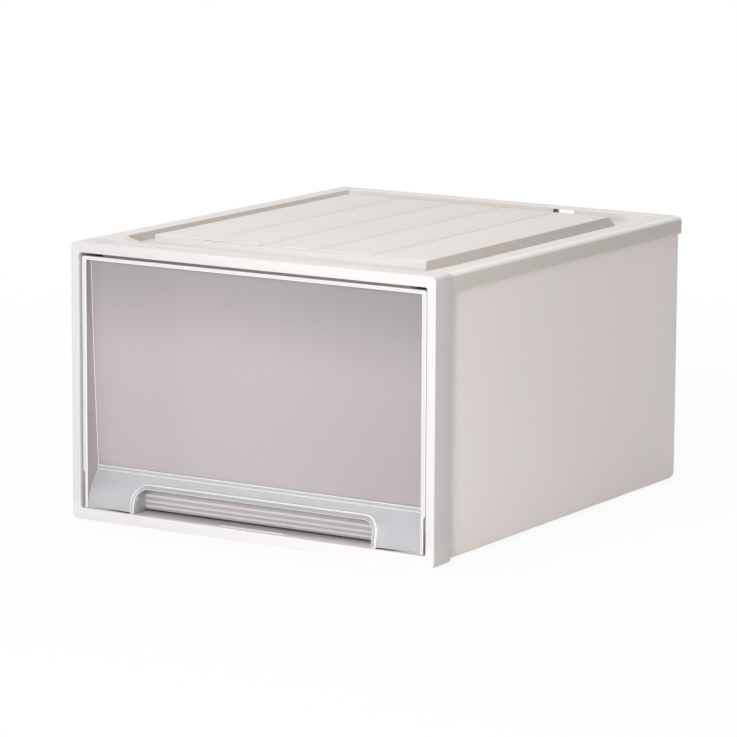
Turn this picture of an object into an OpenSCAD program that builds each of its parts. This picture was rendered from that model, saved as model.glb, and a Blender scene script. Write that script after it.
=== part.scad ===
// Stackable drawer box, closet size.
// Six mouldings that snap together: a body shell, a front frame and a top panel make the case,
// and a tub, a clear front and a handle make the drawer that slides out of it.
// Millimetres, +Z up. The origin is at the centre of the footprint, on the floor.
// The front faces -Y. Inside from_front(), y is counted from the front face instead.

/* [Case] */
// Width of the case over the front frame
case_w = 440; // [380:1:560]
// Depth of the case from the front face to the rear rim
case_d = 525; // [440:1:760]
// Height of the case's rim over the floor
case_h = 292.5; // [220:0.5:380]

/* [Front frame] */
// Depth of the front frame
frame_d = 32; // [26:0.5:45]
// Width of the frame's side bars, seen from the front
side_bar = 9.7; // [8.5:0.1:16]
// Height of the frame's top bar, seen from the front
top_bar = 10.8; // [10.5:0.1:18]
// Height of the sill at the foot of the opening
sill_h = 12; // [10:0.5:20]
// Wall of the hollow frame
frame_wall = 2.2; // [1.6:0.1:2.4]
// Radius of the frame's corners, seen from the front
frame_corner_r = 5.5; // [3:0.5:9]
// Radius of the frame's front edges
frame_edge_r = 2.3; // [1:0.1:3]
// Radius of the front edge along the frame's top
frame_brow_r = 4; // [2:0.5:6]
// Radius of the edge under the rear of the frame
frame_heel_r = 5; // [2:0.5:8]
// Radius of the opening's corners
opening_r = 2.5; // [0.5:0.5:5]
// How deep the opening runs before the stop lip
lip_setback = 10.3; // [7:0.1:14]
// How far the stop lip stands into the opening at the sides
lip_side = 3.7; // [2.5:0.1:6]
// How far the stop lip hangs into the opening at the top
lip_drop = 4.8; // [2.5:0.1:8]
// Length of the lip's notch along the top, from each corner
notch_top_len = 23; // [12:0.5:40]
// Length of the lip's notch down each side, from the top corner
notch_side_len = 26; // [14:0.5:40]
// Height of the lip's notch at each lower corner, over the sill
notch_foot_len = 38; // [20:1:50]
// Length of the thin ridge in the middle of the sill
ridge_len = 77; // [20:1:160]
// Width of that ridge
ridge_w = 1.4; // [0.8:0.1:4]
// Height of that ridge
ridge_h = 0.8; // [0.3:0.1:1.4]
// Distance of that ridge from the front face
ridge_y = 6.4; // [4:0.1:16]

/* [Body shell] */
// How far the shell's outside lies within the frame's
shell_inset = 2.8; // [2.7:0.1:5]
// Wall of the shell
shell_wall = 2.2; // [1.5:0.1:3]
// Radius of the shell's upright rear corners
shell_rear_r = 10; // [4:0.5:20]
// Radius of the edge between the shell's back and its floor
shell_heel_r = 12; // [4:0.5:24]
// Radius of the edge between the shell's sides and its floor
shell_edge_r = 4; // [1:0.5:8]
// How far the shell reaches into the hollow frame
tongue_len = 12; // [6:0.5:16]
// Width of each runner rib on the shell's floor
runner_w = 8; // [4:0.5:14]
// Distance of the runner ribs' middle from the shell's side walls, inside
runner_in = 26; // [22:0.5:60]
// Width of each rear foot
foot_w = 22; // [10:0.5:26]
// Length of each rear foot
foot_len = 40; // [20:1:70]
// Radius of the feet's corners
foot_r = 4; // [1:0.5:5]
// Distance of the feet's rear end from the shell's back
foot_back = 28; // [26:0.5:60]
// Gap between a rear foot and the deck of a box below
foot_gap = 1.1; // [0.5:0.1:3]

/* [Top panel] */
// Wall of the top panel
lid_wall = 2.4; // [1.6:0.1:3]
// Height of the skirt round the top panel
skirt_h = 18.6; // [14:0.1:30]
// Width of the side rims
rim_w = 25.4; // [16:0.1:40]
// Width of the rear rim
rear_rim_w = 24; // [16:0.5:40]
// Radius of the panel's rear corners, seen from above
lid_corner_r = 10; // [6.5:0.5:24]
// Radius of the rims' outer edge
lid_edge_r = 6; // [2:0.5:6]
// Depth of the channel below the rims
channel_drop = 9.2; // [7:0.1:14]
// How far the shelf behind the front face falls before it meets the deck
shelf_drop = 6; // [3:0.1:6.5]
// Width of the ramp at each side of the shelf, from its foot at the deck up to the rim
ramp_w = 25; // [12:0.5:25.5]
// Distance of the side channels' front end from the front face
channel_front = 63; // [45:0.5:68]
// Distance of the deck's front wall from the front face
deck_front = 72.5; // [69:0.5:110]
// Width of the channel beside the deck
channel_w = 29.6; // [26:0.1:60]
// Width of the channel behind the deck
rear_channel_w = 32.2; // [12:0.1:60]
// Length of the deck's rear slope
deck_slope_len = 15.4; // [4:0.1:30]
// Number of strips that the deck's grooves divide it into
deck_strips = 5; // [2:1:9]
// Width of the deck's grooves
groove_w = 1.4; // [0.6:0.1:3]
// Depth of the deck's grooves
groove_depth = 0.8; // [0.3:0.1:1.2]
// Distance of the rear slot's middle from the panel's centre line
slot_x = 82.5; // [40:0.5:130]
// Width of the rear slot
slot_w = 26.4; // [12:0.1:40]
// Height of the rear slot
slot_h = 4.6; // [4.2:0.1:5]
// How much wider the slot's mouth is at the back
slot_flare = 5.5; // [0:0.5:12]
// How much lower the slot's mouth is at the back, so that the slot can be looked through
slot_sink = 4; // [0:0.5:5]
// Wall left above the rear slot
slot_skin = 1.6; // [1:0.1:1.9]

/* [Drawer tub] */
// Wall of the tub
tub_wall = 2; // [1.4:0.1:3]
// Gap between the tub's floor and the sill
belly_gap = 2; // [1.4:0.1:4]
// Gap between the tub's sides and the clear front's walls
tub_side_gap = 2; // [0.5:0.1:5]
// Gap between the tub's back and the shell's
tub_rear_gap = 4; // [3.5:0.5:20]
// Radius of the tub's upright rear corners
tub_rear_r = 15; // [6:0.5:30]
// Radius of the tub's lower edges
tub_edge_r = 10; // [4:0.5:12]
// How far the tub's top edge lies below the frame's lip, which is how far the tub can be lifted
tub_top_gap = 8.2; // [4:0.1:12]
// Thickness of the flange round the tub's top
flange_h = 2.2; // [1.4:0.1:4]
// Width of each skid under the tub
skid_w = 5; // [3:0.5:8]
// How far the drawer slides out
travel = 420; // [200:5:420]
// Thickness of each stop lug on the tub's sides
lug_t = 4; // [2.5:0.1:8]
// Height of each stop lug
lug_h = 6; // [4:0.5:12]
// How far below the lip's notch the stop lugs' tops lie, so that the lip stops them
lug_cover = 1; // [0.5:0.5:4]

/* [Drawer front] */
// Distance of the clear front's face from the frame's front face
front_setback = 2; // [0.5:0.1:5]
// Gap between the clear front's rim and the sides of the opening
rim_gap = 2.3; // [1:0.1:2.6]
// Gap between the clear front's rim and the top of the opening
rim_top_gap = 3.7; // [1:0.1:4.2]
// Wall of the clear front
front_wall = 2; // [1.4:0.1:2.4]
// How far the rim stands in from the recess's walls
rim_lap = 1; // [0.4:0.1:3]
// Distance of the window's upper edge from the frame's front face
window_y0 = 12.5; // [11:0.1:16]
// Lean of the window, as a part of its height
window_lean = 0.03; // [0:0.005:0.04]
// How far the window bows back at its foot
window_bow = 5.4; // [0:0.1:6]
// Thickness of the window
window_t = 2.2; // [1.4:0.1:3]
// Distance of the clear front's rear edge from the frame's front face
cap_back = 34; // [33:0.5:50]
// Height over the sill at which the rim gets narrower
rim_step_z = 38; // [20:1:60]

/* [Handle] */
// Height of the handle's upper edge over the sill
handle_h = 43.5; // [38:0.5:60]
// How far the handle's lowest part lies behind the clear front's face
handle_in = 1.7; // [1.2:0.1:4]
// Height over the sill at which the handle starts to curve
scoop_foot = 2; // [1:0.5:4]
// Radius of the handle's curve
scoop_r = 41; // [38:0.5:44]
// Angle through which the handle curves, in degrees
scoop_angle = 36; // [30:1:38]
// Thickness of the handle's skin
handle_t = 2.2; // [1.4:0.1:3]
// Height of the bead along the handle's upper edge
bead_h = 3.5; // [2:0.1:5]
// Width of the finger cut-out
grip_w = 290; // [120:1:320]
// Height of the finger cut-out over the sill
grip_h = 26; // [20:0.5:28]
// Radius of the finger cut-out's upper corners
grip_r = 13; // [4:0.5:18]
// Width of the raised lip round the finger cut-out
grip_lip_w = 4.5; // [2:0.1:6]
// How far that lip stands out of the handle
grip_lip_out = 1.2; // [0.4:0.1:1.5]
// How far that lip turns in behind the handle
grip_lip_in = 4; // [2.5:0.1:6]
// Thickness of the two walls that close the finger pocket
rib_t = 2; // [1.4:0.1:4]

/* [Fit] */
// Gap between mouldings that snap together
fit_gap = 0.3; // [0.2:0.05:0.4]
// Gap between the drawer and the frame's lip
run_gap = 0.6; // [0.4:0.05:1]
// Height by which a stacked box's floor clears the deck below it
stack_gap = 0.1; // [0.05:0.05:0.4]

/* [Hidden] */
$fn = 48;
cut = 1;                                        // how far a cutter runs past what it cuts
root = 1;                                       // how far a rib or lug runs into its wall

// Case
case_half = case_w / 2;
open_half = case_half - side_bar;
open_top = case_h - top_bar;
lip_half = open_half - lip_side;
lip_top = open_top - lip_drop;
lip_back = lip_setback + frame_wall;
ridge_z = sill_h + ridge_h;

// Top panel
rim_half = case_half - rim_w;                   // inner edge of the side rims
rear_rim_y = case_d - rear_rim_w;               // inner edge of the rear rim
lid_front = frame_d + fit_gap;
lid_under = case_h - lid_wall;                  // underside of the rims
skirt_z = case_h - skirt_h;
channel_z = case_h - channel_drop;
channel_under = channel_z - lid_wall;
deck_half = rim_half - channel_w;
deck_z = case_h + shell_inset - stack_gap;
deck_foot = rear_rim_y - rear_channel_w;        // where the deck's rear slope ends
deck_back = deck_foot - deck_slope_len;
deck_pitch = 2 * deck_half / deck_strips;
slope_run = deck_slope_len / (deck_z - channel_z);
slope_shift = lid_wall * sqrt(1 + slope_run ^ 2);
skirt_half = case_half - shell_inset + fit_gap; // inside of the skirt
skirt_back = case_d - shell_inset + fit_gap;
slot_z = case_h - slot_skin - slot_h;
mouth_z = slot_z - slot_sink;
ramp_run = ramp_w / shelf_drop;                 // how far a ramp runs for each mm of rise

// Body shell
shell_half = case_half - shell_inset;
shell_back = case_d - shell_inset;
shell_front = frame_d - tongue_len;
shell_in = shell_half - shell_wall;
shell_floor = shell_inset + shell_wall;
shell_top = lid_under - fit_gap;
shelf_slope = shelf_drop / (deck_front - frame_brow_r);
cavity_top = shelf_z(frame_d) - frame_wall;     // top of the hollow in the frame
runner_x = shell_in - runner_in;

// Drawer front
rim_half_out = open_half - rim_gap;
rim_top = open_top - rim_top_gap;
cap_half = lip_half - run_gap;
cap_top = lip_top - run_gap;
cap_in = cap_half - front_wall;
cap_in_top = cap_top - front_wall;
drawer_z = sill_h + run_gap;                    // lowest edge of the clear front and the handle
window_z = sill_h + belly_gap;
window_h = cap_in_top - window_z;
rim_back = lip_setback - fit_gap;
handle_y = front_setback + handle_in;           // face of the handle's lowest part
lap_back = handle_y - fit_gap;                  // the rim's inner edge ends before the handle
window_steps = 12;

// Drawer tub
tub_half = cap_in - tub_side_gap;
tub_in = tub_half - tub_wall;
tub_z = sill_h + belly_gap;
tub_top = lip_top - tub_top_gap;
tub_back = shell_back - shell_wall - tub_rear_gap;
tub_front_gap = window_t + fit_gap;             // from the window's face to the tub's
flange_front = cap_back + fit_gap;
flange_half = cap_half;
flange_back = tub_back + tub_wall;
lug_y = frame_d + travel + fit_gap;
lug_half = open_half - run_gap;
lug_top = open_top - notch_side_len - lug_cover;

// Handle
handle_half = cap_in - fit_gap;
handle_top = sill_h + handle_h;
bead_z = handle_top - bead_h;                   // where the skin ends and the bead starts
scoop_z = sill_h + scoop_foot;                  // where the curve leaves the upright
grip_half = grip_w / 2;
grip_top = sill_h + grip_h;
scoop_steps = 12;

// Height of the shelf's surface at a distance y from the front face
function shelf_z(y) = case_h - shelf_slope * (y - frame_brow_r);

// Distance of the window's face from the front face, at height z
function window_y(z) =
    let (d = cap_in_top - z)
    window_y0 + window_lean * d + window_bow * (d / window_h) ^ 2;

// The window's face as [y, z] points between two heights, set back by a distance
function window_line(z0, z1, back) =
    [for (i = [0 : window_steps]) let (z = z0 + (z1 - z0) * i / window_steps) [window_y(z) + back, z]];

// A point of the handle's skin, set out of its face by a distance
function scoop_point(angle, out) =
    [handle_y + scoop_r - (scoop_r + out) * cos(angle), scoop_z + (scoop_r + out) * sin(angle)];

// The handle's skin as [y, z] points from its foot to the height z1, set out by a distance
function scoop_line(out, z1) =
    let (end = scoop_point(scoop_angle, out))
    concat(
        [[handle_y - out, drawer_z]],
        [for (i = [0 : scoop_steps]) scoop_point(scoop_angle * i / scoop_steps, out)],
        [[end[0] + (z1 - end[1]) * tan(scoop_angle), z1]]
    );

function reversed(points) = [for (i = [len(points) - 1 : -1 : 0]) points[i]];

// ---- Helpers -------------------------------------------------------------

module from_front() {
    translate([0, -case_d / 2, 0]) children();
}

// An [x, z] outline extruded from y0 to y1
module along_y(y0, y1) {
    translate([0, y1, 0]) rotate([90, 0, 0]) linear_extrude(y1 - y0) children();
}

// A [y, z] outline extruded from x0 to x1
module along_x(x0, x1) {
    translate([x0, 0, 0]) rotate([90, 0, 90]) linear_extrude(x1 - x0) children();
}

// An [x, y] outline extruded from z0 to z1
module along_z(z0, z1) {
    translate([0, 0, z0]) linear_extrude(z1 - z0) children();
}

// What a quarter round takes off a corner at the origin, in the first quadrant
module corner_waste(r) {
    difference() {
        translate([-cut, -cut]) square(r + cut);
        translate([r, r]) circle(r);
        translate([r, -2 * cut]) square(r + 4 * cut);
        translate([-2 * cut, r]) square(r + 4 * cut);
    }
}

// A rectangle from [x0, y0] to [x1, y1]; r holds the radii of its corners,
// counter-clockwise from the lower left, and 0 leaves a corner sharp
module rounded_rect(x0, y0, x1, y1, r) {
    difference() {
        translate([x0, y0]) square([x1 - x0, y1 - y0]);
        if (r[0] > 0) translate([x0, y0]) corner_waste(r[0]);
        if (r[1] > 0) translate([x1, y0]) mirror([1, 0]) corner_waste(r[1]);
        if (r[2] > 0) translate([x1, y1]) mirror([1, 0]) mirror([0, 1]) corner_waste(r[2]);
        if (r[3] > 0) translate([x0, y1]) mirror([0, 1]) corner_waste(r[3]);
    }
}

module both_sides() {
    children();
    mirror([1, 0, 0]) children();
}

// ---- Front frame ---------------------------------------------------------

module frame_block() {
    intersection() {
        along_y(-cut, frame_d + cut)
            rounded_rect(-case_half, 0, case_half, case_h, [for (i = [0 : 3]) frame_corner_r]);
        along_x(-case_half - cut, case_half + cut)
            rounded_rect(0, 0, frame_d, case_h, [frame_edge_r, frame_heel_r, 0, frame_brow_r]);
        along_z(-cut, case_h + cut)
            rounded_rect(-case_half, 0, case_half, frame_d, [frame_edge_r, frame_edge_r, 0, 0]);
    }
}

// The opening before the stop lip, grown by a wall
module opening_outline(grow) {
    rounded_rect(-open_half - grow, sill_h - grow, open_half + grow, open_top + grow,
                 [for (i = [0 : 3]) opening_r]);
}

// The opening behind the stop lip with its notches, grown by a wall
module lip_outline(grow) {
    rounded_rect(-lip_half - grow, sill_h - grow, lip_half + grow, lip_top + grow, [0, 0, 0, 0]);
    rounded_rect(-open_half - grow, sill_h - grow, open_half + grow,
                 sill_h + notch_foot_len + grow, [opening_r, opening_r, 0, 0]);
    for (side = [-1, 1]) {
        x0 = side * (open_half - notch_top_len / 2);
        translate([x0 - notch_top_len / 2 - grow, open_top - notch_side_len - grow])
            square([notch_top_len + 2 * grow, notch_side_len + 2 * grow]);
    }
}

// What lies within the frame's outer wall
module frame_hollow_outline() {
    r = frame_corner_r - frame_wall;
    rounded_rect(-case_half + frame_wall, frame_wall, case_half - frame_wall, cavity_top, [r, r, 0, 0]);
}

// What is cut away over the shelf, which has a ramp up to the rim at each side
module shelf_cut() {
    y1 = deck_front + cut;
    low_half = rim_half - ramp_w - cut * ramp_run;
    intersection() {
        along_x(-rim_half, rim_half) polygon([
            [frame_brow_r, case_h],
            [y1, shelf_z(y1)],
            [y1, case_h + cut],
            [frame_brow_r, case_h + cut]
        ]);
        along_y(0, y1 + cut) polygon([
            [-low_half, case_h - shelf_drop - cut],
            [low_half, case_h - shelf_drop - cut],
            [rim_half, case_h],
            [rim_half, case_h + 2 * cut],
            [-rim_half, case_h + 2 * cut],
            [-rim_half, case_h]
        ]);
    }
}

module front_frame() {
    color([0.95, 0.94, 0.93])
    from_front() {
        difference() {
            frame_block();
            along_y(-cut, lip_setback) opening_outline(0);
            along_y(lip_setback - cut, frame_d + cut) lip_outline(0);
            along_y(frame_wall, lip_back) difference() {
                frame_hollow_outline();
                opening_outline(frame_wall);
            }
            along_y(lip_back - cut, frame_d + cut) difference() {
                frame_hollow_outline();
                lip_outline(frame_wall);
                opening_outline(0);
            }
            shelf_cut();
        }
        translate([-ridge_len / 2, ridge_y, sill_h - ridge_h])
            cube([ridge_len, ridge_w, ridge_z - sill_h + ridge_h]);
    }
}

// ---- Body shell ----------------------------------------------------------

// The shell's outer form, shrunk all round by a wall
module shell_form(shrink) {
    half = shell_half - shrink;
    back = shell_back - shrink;
    low = shell_inset + shrink;
    front = shell_front - sign(shrink) * cut;
    rear_r = shell_rear_r - shrink;
    edge_r = max(shell_edge_r - shrink, 0);
    intersection() {
        along_z(low - cut, case_h) rounded_rect(-half, front, half, back, [0, 0, rear_r, rear_r]);
        along_y(front - cut, back + cut) rounded_rect(-half, low, half, case_h, [edge_r, edge_r, 0, 0]);
        along_x(-half - cut, half + cut)
            rounded_rect(front, low, back, case_h, [0, shell_heel_r - shrink, 0, 0]);
    }
}

// A runner rib, from the frame to where the floor starts to curve up
module shell_runner() {
    translate([runner_x - runner_w / 2, lid_front, shell_floor - root])
        cube([runner_w, shell_back - shell_heel_r - lid_front, sill_h - fit_gap - shell_floor + root]);
}

// A rear foot, which stands beside the deck of a box below
module shell_foot() {
    x0 = deck_half + foot_gap;
    y1 = shell_back - foot_back;
    along_z(0, shell_inset + root)
        rounded_rect(x0, y1 - foot_len, x0 + foot_w, y1, [for (i = [0 : 3]) foot_r]);
}

module body_shell() {
    color([0.86, 0.83, 0.81])
    from_front() difference() {
        union() {
            difference() {
                shell_form(0);
                shell_form(shell_wall);
            }
            both_sides() {
                shell_runner();
                shell_foot();
            }
        }
        translate([-case_half, 0, shell_top]) cube([case_w, case_d, case_h]);
        translate([-case_half, 0, cavity_top - fit_gap]) cube([case_w, lid_front, case_h]);
        // room behind the rear slot
        translate([slot_x - slot_w / 2 - slot_flare, shell_back - shell_rear_r, mouth_z - fit_gap])
            cube([slot_w + slot_flare, shell_rear_r + cut, case_h]);
    }
}

// ---- Top panel -----------------------------------------------------------

module lid_block() {
    intersection() {
        along_z(skirt_z, case_h)
            rounded_rect(-case_half, lid_front, case_half, case_d, [0, 0, lid_corner_r, lid_corner_r]);
        along_y(lid_front - cut, case_d + cut)
            rounded_rect(-case_half, skirt_z - cut, case_half, case_h, [0, 0, lid_edge_r, lid_edge_r]);
        along_x(-case_half - cut, case_half + cut)
            rounded_rect(lid_front - cut, skirt_z - cut, case_d, case_h, [0, 0, lid_edge_r, 0]);
    }
}

// The deck's long section; inset 0 gives its outside and 1 its hollow
module deck_outline(inset) {
    wall = inset * lid_wall;
    shift = inset * slope_shift;
    foot_z = channel_under - inset * cut;
    polygon([
        [deck_front + wall, foot_z],
        [deck_foot - shift + (channel_z - foot_z) * inset * slope_run, foot_z],
        [deck_foot - shift, channel_z],
        [deck_back - shift + wall * slope_run, deck_z - wall],
        [deck_front + wall, deck_z - wall]
    ]);
}

// The hollow under the shelf, which runs further back in front of the deck
module under_shelf() {
    intersection() {
        along_x(-rim_half, rim_half) polygon([
            [frame_d, skirt_z],
            [deck_front, skirt_z],
            [deck_front, shelf_z(deck_front) - lid_wall],
            [frame_d, shelf_z(frame_d) - lid_wall]
        ]);
        along_z(skirt_z - cut, case_h) {
            translate([-rim_half, 0]) square([2 * rim_half, channel_front - lid_wall]);
            translate([lid_wall - deck_half, 0]) square([2 * (deck_half - lid_wall), deck_front]);
        }
    }
}

module lid_underside() {
    tray_half = rim_half + lid_wall;
    tray_back = rear_rim_y + lid_wall;
    inner_r = lid_corner_r - shell_inset;
    along_z(skirt_z - cut, lid_under) difference() {
        rounded_rect(-skirt_half, frame_d, skirt_half, skirt_back, [0, 0, inner_r, inner_r]);
        translate([-tray_half, 0]) square([2 * tray_half, tray_back]);
    }
    along_z(skirt_z - cut, channel_under)
        rounded_rect(-skirt_half, frame_d, skirt_half, skirt_back, [0, 0, inner_r, inner_r]);
    along_x(-deck_half + lid_wall, deck_half - lid_wall) deck_outline(1);
    under_shelf();
}

module rear_slot() {
    x0 = slot_x - slot_w / 2;
    translate([x0, rear_rim_y - cut, slot_z]) cube([slot_w, lid_wall + 2 * cut, slot_h]);
    translate([x0 - slot_flare, rear_rim_y + lid_wall, mouth_z])
        cube([slot_w + slot_flare, rear_rim_w, slot_h + slot_sink]);
}

module deck_grooves() {
    for (i = [1 : deck_strips - 1])
        translate([-deck_half + i * deck_pitch - groove_w / 2, deck_front - cut, deck_z - groove_depth])
            cube([groove_w, deck_foot - deck_front + cut, groove_depth + cut]);
}

module top_panel() {
    color([0.93, 0.92, 0.9])
    from_front() difference() {
        union() {
            difference() {
                lid_block();
                along_z(channel_z, case_h + cut) difference() {
                    translate([-rim_half, channel_front]) square([2 * rim_half, rear_rim_y - channel_front]);
                    translate([-deck_half, 0]) square([2 * deck_half, deck_front]);
                }
                shelf_cut();
            }
            along_x(-deck_half, deck_half) deck_outline(0);
        }
        lid_underside();
        rear_slot();
        deck_grooves();
    }
}

// ---- Drawer tub ----------------------------------------------------------

// The tub's form, shrunk all round by a wall; its front follows the window
module tub_form(shrink) {
    half = tub_half - shrink;
    back = tub_back - shrink;
    low = tub_z + shrink;
    high = tub_top + sign(shrink) * cut;
    rear_r = tub_rear_r - shrink;
    edge_r = tub_edge_r - shrink;
    face = window_line(low, tub_top, tub_front_gap + shrink);
    face_top = [window_y(tub_top) + tub_front_gap + shrink, high];
    intersection() {
        along_z(low - cut, high + cut) rounded_rect(-half, 0, half, back, [0, 0, rear_r, rear_r]);
        along_y(0, back + cut) rounded_rect(-half, low, half, high, [edge_r, edge_r, 0, 0]);
        along_x(-half - cut, half + cut) difference() {
            polygon(concat(face, [face_top, [back, high], [back, low]]));
            translate([back, low]) mirror([1, 0]) corner_waste(edge_r);
        }
    }
}

module tub_flange() {
    rear_r = tub_rear_r + tub_wall;
    along_z(tub_top - flange_h, tub_top) difference() {
        rounded_rect(-flange_half, flange_front, flange_half, flange_back, [0, 0, rear_r, rear_r]);
        rounded_rect(-tub_in, 0, tub_in, tub_back - tub_wall,
                     [0, 0, tub_rear_r - tub_wall, tub_rear_r - tub_wall]);
    }
}

module tub_skid() {
    y0 = window_y(tub_z) + tub_front_gap + tub_wall;
    translate([runner_x - skid_w / 2, y0, sill_h])
        cube([skid_w, tub_back - tub_edge_r - y0, tub_z + root - sill_h]);
}

// A stop lug, which meets the frame's lip from behind when the drawer is out
module tub_lug() {
    translate([tub_half - root, lug_y, lug_top - lug_h])
        cube([lug_half - tub_half + root, lug_t, lug_h]);
}

module drawer_tub() {
    color([0.8, 0.79, 0.82, 0.6])
    from_front() {
        difference() {
            tub_form(0);
            tub_form(tub_wall);
        }
        tub_flange();
        both_sides() {
            tub_skid();
            tub_lug();
        }
    }
}

// ---- Drawer front --------------------------------------------------------

module rim_outline() {
    rounded_rect(-cap_half, drawer_z, cap_half, cap_top, [0, 0, 0, 0]);
    rounded_rect(-rim_half_out, sill_h + rim_step_z + rim_half_out - cap_half, rim_half_out, rim_top,
                 [0, 0, opening_r, opening_r]);
    // the slant between the narrow and the wide stretch
    polygon([
        [-cap_half, sill_h + rim_step_z],
        [cap_half, sill_h + rim_step_z],
        [rim_half_out, sill_h + rim_step_z + rim_half_out - cap_half],
        [-rim_half_out, sill_h + rim_step_z + rim_half_out - cap_half]
    ]);
}

module front_recess(lap) {
    translate([-cap_in + lap, drawer_z - cut])
        square([2 * (cap_in - lap), cap_in_top - drawer_z + cut]);
}

module drawer_front() {
    color([0.84, 0.84, 0.88, 0.45])
    from_front() {
        // rim
        difference() {
            along_y(front_setback, rim_back) rim_outline();
            along_y(front_setback - cut, rim_back + cut) front_recess(rim_lap);
            along_y(lap_back, rim_back + cut) front_recess(0);
        }
        // walls that reach back round the tub
        along_y(rim_back - cut, cap_back) difference() {
            rounded_rect(-cap_half, drawer_z, cap_half, cap_top, [0, 0, 0, 0]);
            front_recess(0);
        }
        // window
        along_x(-cap_in - root, cap_in + root) polygon(concat(
            window_line(window_z, cap_in_top + root, 0),
            reversed(window_line(window_z, cap_in_top + root, window_t))
        ));
    }
}

// ---- Handle --------------------------------------------------------------

// The handle's skin between two distances from its face, both counted outwards,
// as far back as the window
module scoop_band(out, in) {
    intersection() {
        polygon(concat(scoop_line(out, bead_z), reversed(scoop_line(in, bead_z))));
        polygon(concat([[-cut, bead_z], [-cut, drawer_z]], window_line(drawer_z, bead_z, -fit_gap)));
    }
}

// The finger cut-out, grown by a lip
module grip_outline(grow) {
    rounded_rect(-grip_half - grow, drawer_z - cut, grip_half + grow, grip_top + grow,
                 [0, 0, grip_r + grow, grip_r + grow]);
}

// The space between the handle's face and the window
module pocket_outline() {
    polygon(concat(scoop_line(0, bead_z), reversed(window_line(drawer_z, bead_z, -fit_gap))));
}

module drawer_handle() {
    color([0.86, 0.87, 0.92, 0.55])
    from_front() {
        difference() {
            along_x(-handle_half, handle_half) scoop_band(0, -handle_t);
            along_y(0, cap_back) grip_outline(0);
        }
        // raised lip round the finger cut-out
        intersection() {
            along_x(-handle_half, handle_half) scoop_band(grip_lip_out, -grip_lip_in);
            along_y(0, cap_back) difference() {
                grip_outline(grip_lip_w);
                grip_outline(0);
            }
        }
        // bead along the upper edge
        along_x(-handle_half, handle_half) polygon(concat(
            window_line(bead_z - root, handle_top, -fit_gap - handle_t),
            reversed(window_line(bead_z - root, handle_top, -fit_gap))
        ));
        // pocket walls and end walls
        both_sides() {
            along_x(grip_half, grip_half + rib_t) pocket_outline();
            along_x(handle_half - rib_t, handle_half) pocket_outline();
        }
    }
}

body_shell();
front_frame();
top_panel();
drawer_tub();
drawer_front();
drawer_handle();
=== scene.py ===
"""Stackable drawer box: the looks of its six plastic mouldings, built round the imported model.

The case is a front frame, a top panel and a body shell. The drawer is a tub, a clear front and a
frosted handle. Everything is in metres: +Z is up, and the drawer faces -Y. A depth is counted from
the front face of the case.
"""

import logging
import math
from dataclasses import dataclass, replace
from enum import Enum
from itertools import pairwise
from typing import Callable, Sequence

import bmesh
import bpy
from mathutils import Matrix, Vector


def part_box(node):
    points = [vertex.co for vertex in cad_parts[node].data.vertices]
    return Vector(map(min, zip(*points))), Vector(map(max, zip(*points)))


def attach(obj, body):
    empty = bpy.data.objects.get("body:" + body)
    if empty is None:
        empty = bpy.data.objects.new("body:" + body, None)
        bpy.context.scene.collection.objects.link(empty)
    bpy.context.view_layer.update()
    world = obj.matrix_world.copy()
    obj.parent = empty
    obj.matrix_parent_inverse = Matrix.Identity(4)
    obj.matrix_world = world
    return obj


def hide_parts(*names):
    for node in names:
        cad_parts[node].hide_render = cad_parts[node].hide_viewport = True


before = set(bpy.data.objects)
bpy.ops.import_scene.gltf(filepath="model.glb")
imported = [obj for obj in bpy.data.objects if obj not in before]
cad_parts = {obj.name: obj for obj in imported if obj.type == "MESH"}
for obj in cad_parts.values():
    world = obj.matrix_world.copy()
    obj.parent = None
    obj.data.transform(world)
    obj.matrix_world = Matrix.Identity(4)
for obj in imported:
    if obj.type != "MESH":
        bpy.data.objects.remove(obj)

Point = Sequence[float]
Colour = tuple[float, float, float]
Piece = bpy.types.Object
Socket = bpy.types.NodeSocket
Feeds = dict[str | int, Socket | float | tuple[float, ...]]
EdgeTest = Callable[[Vector, Vector], bool]     # asks about an edge's two ends
FaceTest = Callable[[Vector, Vector], bool]     # asks about a face's centre and normal

# Places of the finishes on a piece, in the order in which dress() gets them. The main one is 0.
EDGE_HIGHLIGHT_PLACE = 1             # every piece: its edges, with a painted highlight
GAP_SHADE_PLACE = 2              # front frame: painted shade on the lip over the drawer
RIM_HIGHLIGHT_PLACE = 2              # lid: painted highlight on the tops of the rims
SIDE_SHADE_PLACE = 3             # lid: painted shade on the faces to the left and right
GROOVE_SHADE_PLACE = 4           # lid: painted shade on the floors of the grooves
CLEAR_PLACE = 2            # tub: its front. Clear front: the window and the recess's sides
FOLD_SHADE_PLACE = 3             # tub: painted shade on the rounding round its floor
RIB_HIGHLIGHT_PLACE = 3              # clear front: painted highlight on the ribs at the window's foot
OVERRUN = 0.004            # how far a cutter runs past what it cuts
ROOT = 0.001               # how far a rib runs into the wall that carries it
TOUCH = 1e-5               # two places closer than this are the same
FACING = 0.5               # a normal's share past which its face looks that way
SQUARE = 0.9               # a normal's share past which its face is square to that axis
FLAT_ANGLE = math.radians(0.3)  # faces that meet at a smaller angle are one face
LOG = logging.getLogger("drawer_box")


class Axis(Enum):
    """An axis of the frame that all pieces share."""

    X = 0
    Y = 1
    Z = 2


class Blend(Enum):
    """How one closed shape changes another."""

    ADD = "UNION"
    CUT = "DIFFERENCE"
    KEEP = "INTERSECT"


# ---- Bench tools: small steps of modelling by hand ----


def activate(piece: Piece) -> None:
    """Select one object alone and make it the active one.

    Args:
        piece: The object to work on.
    """
    bpy.ops.object.select_all(action="DESELECT")
    piece.select_set(True)
    bpy.context.view_layer.objects.active = piece


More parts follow.
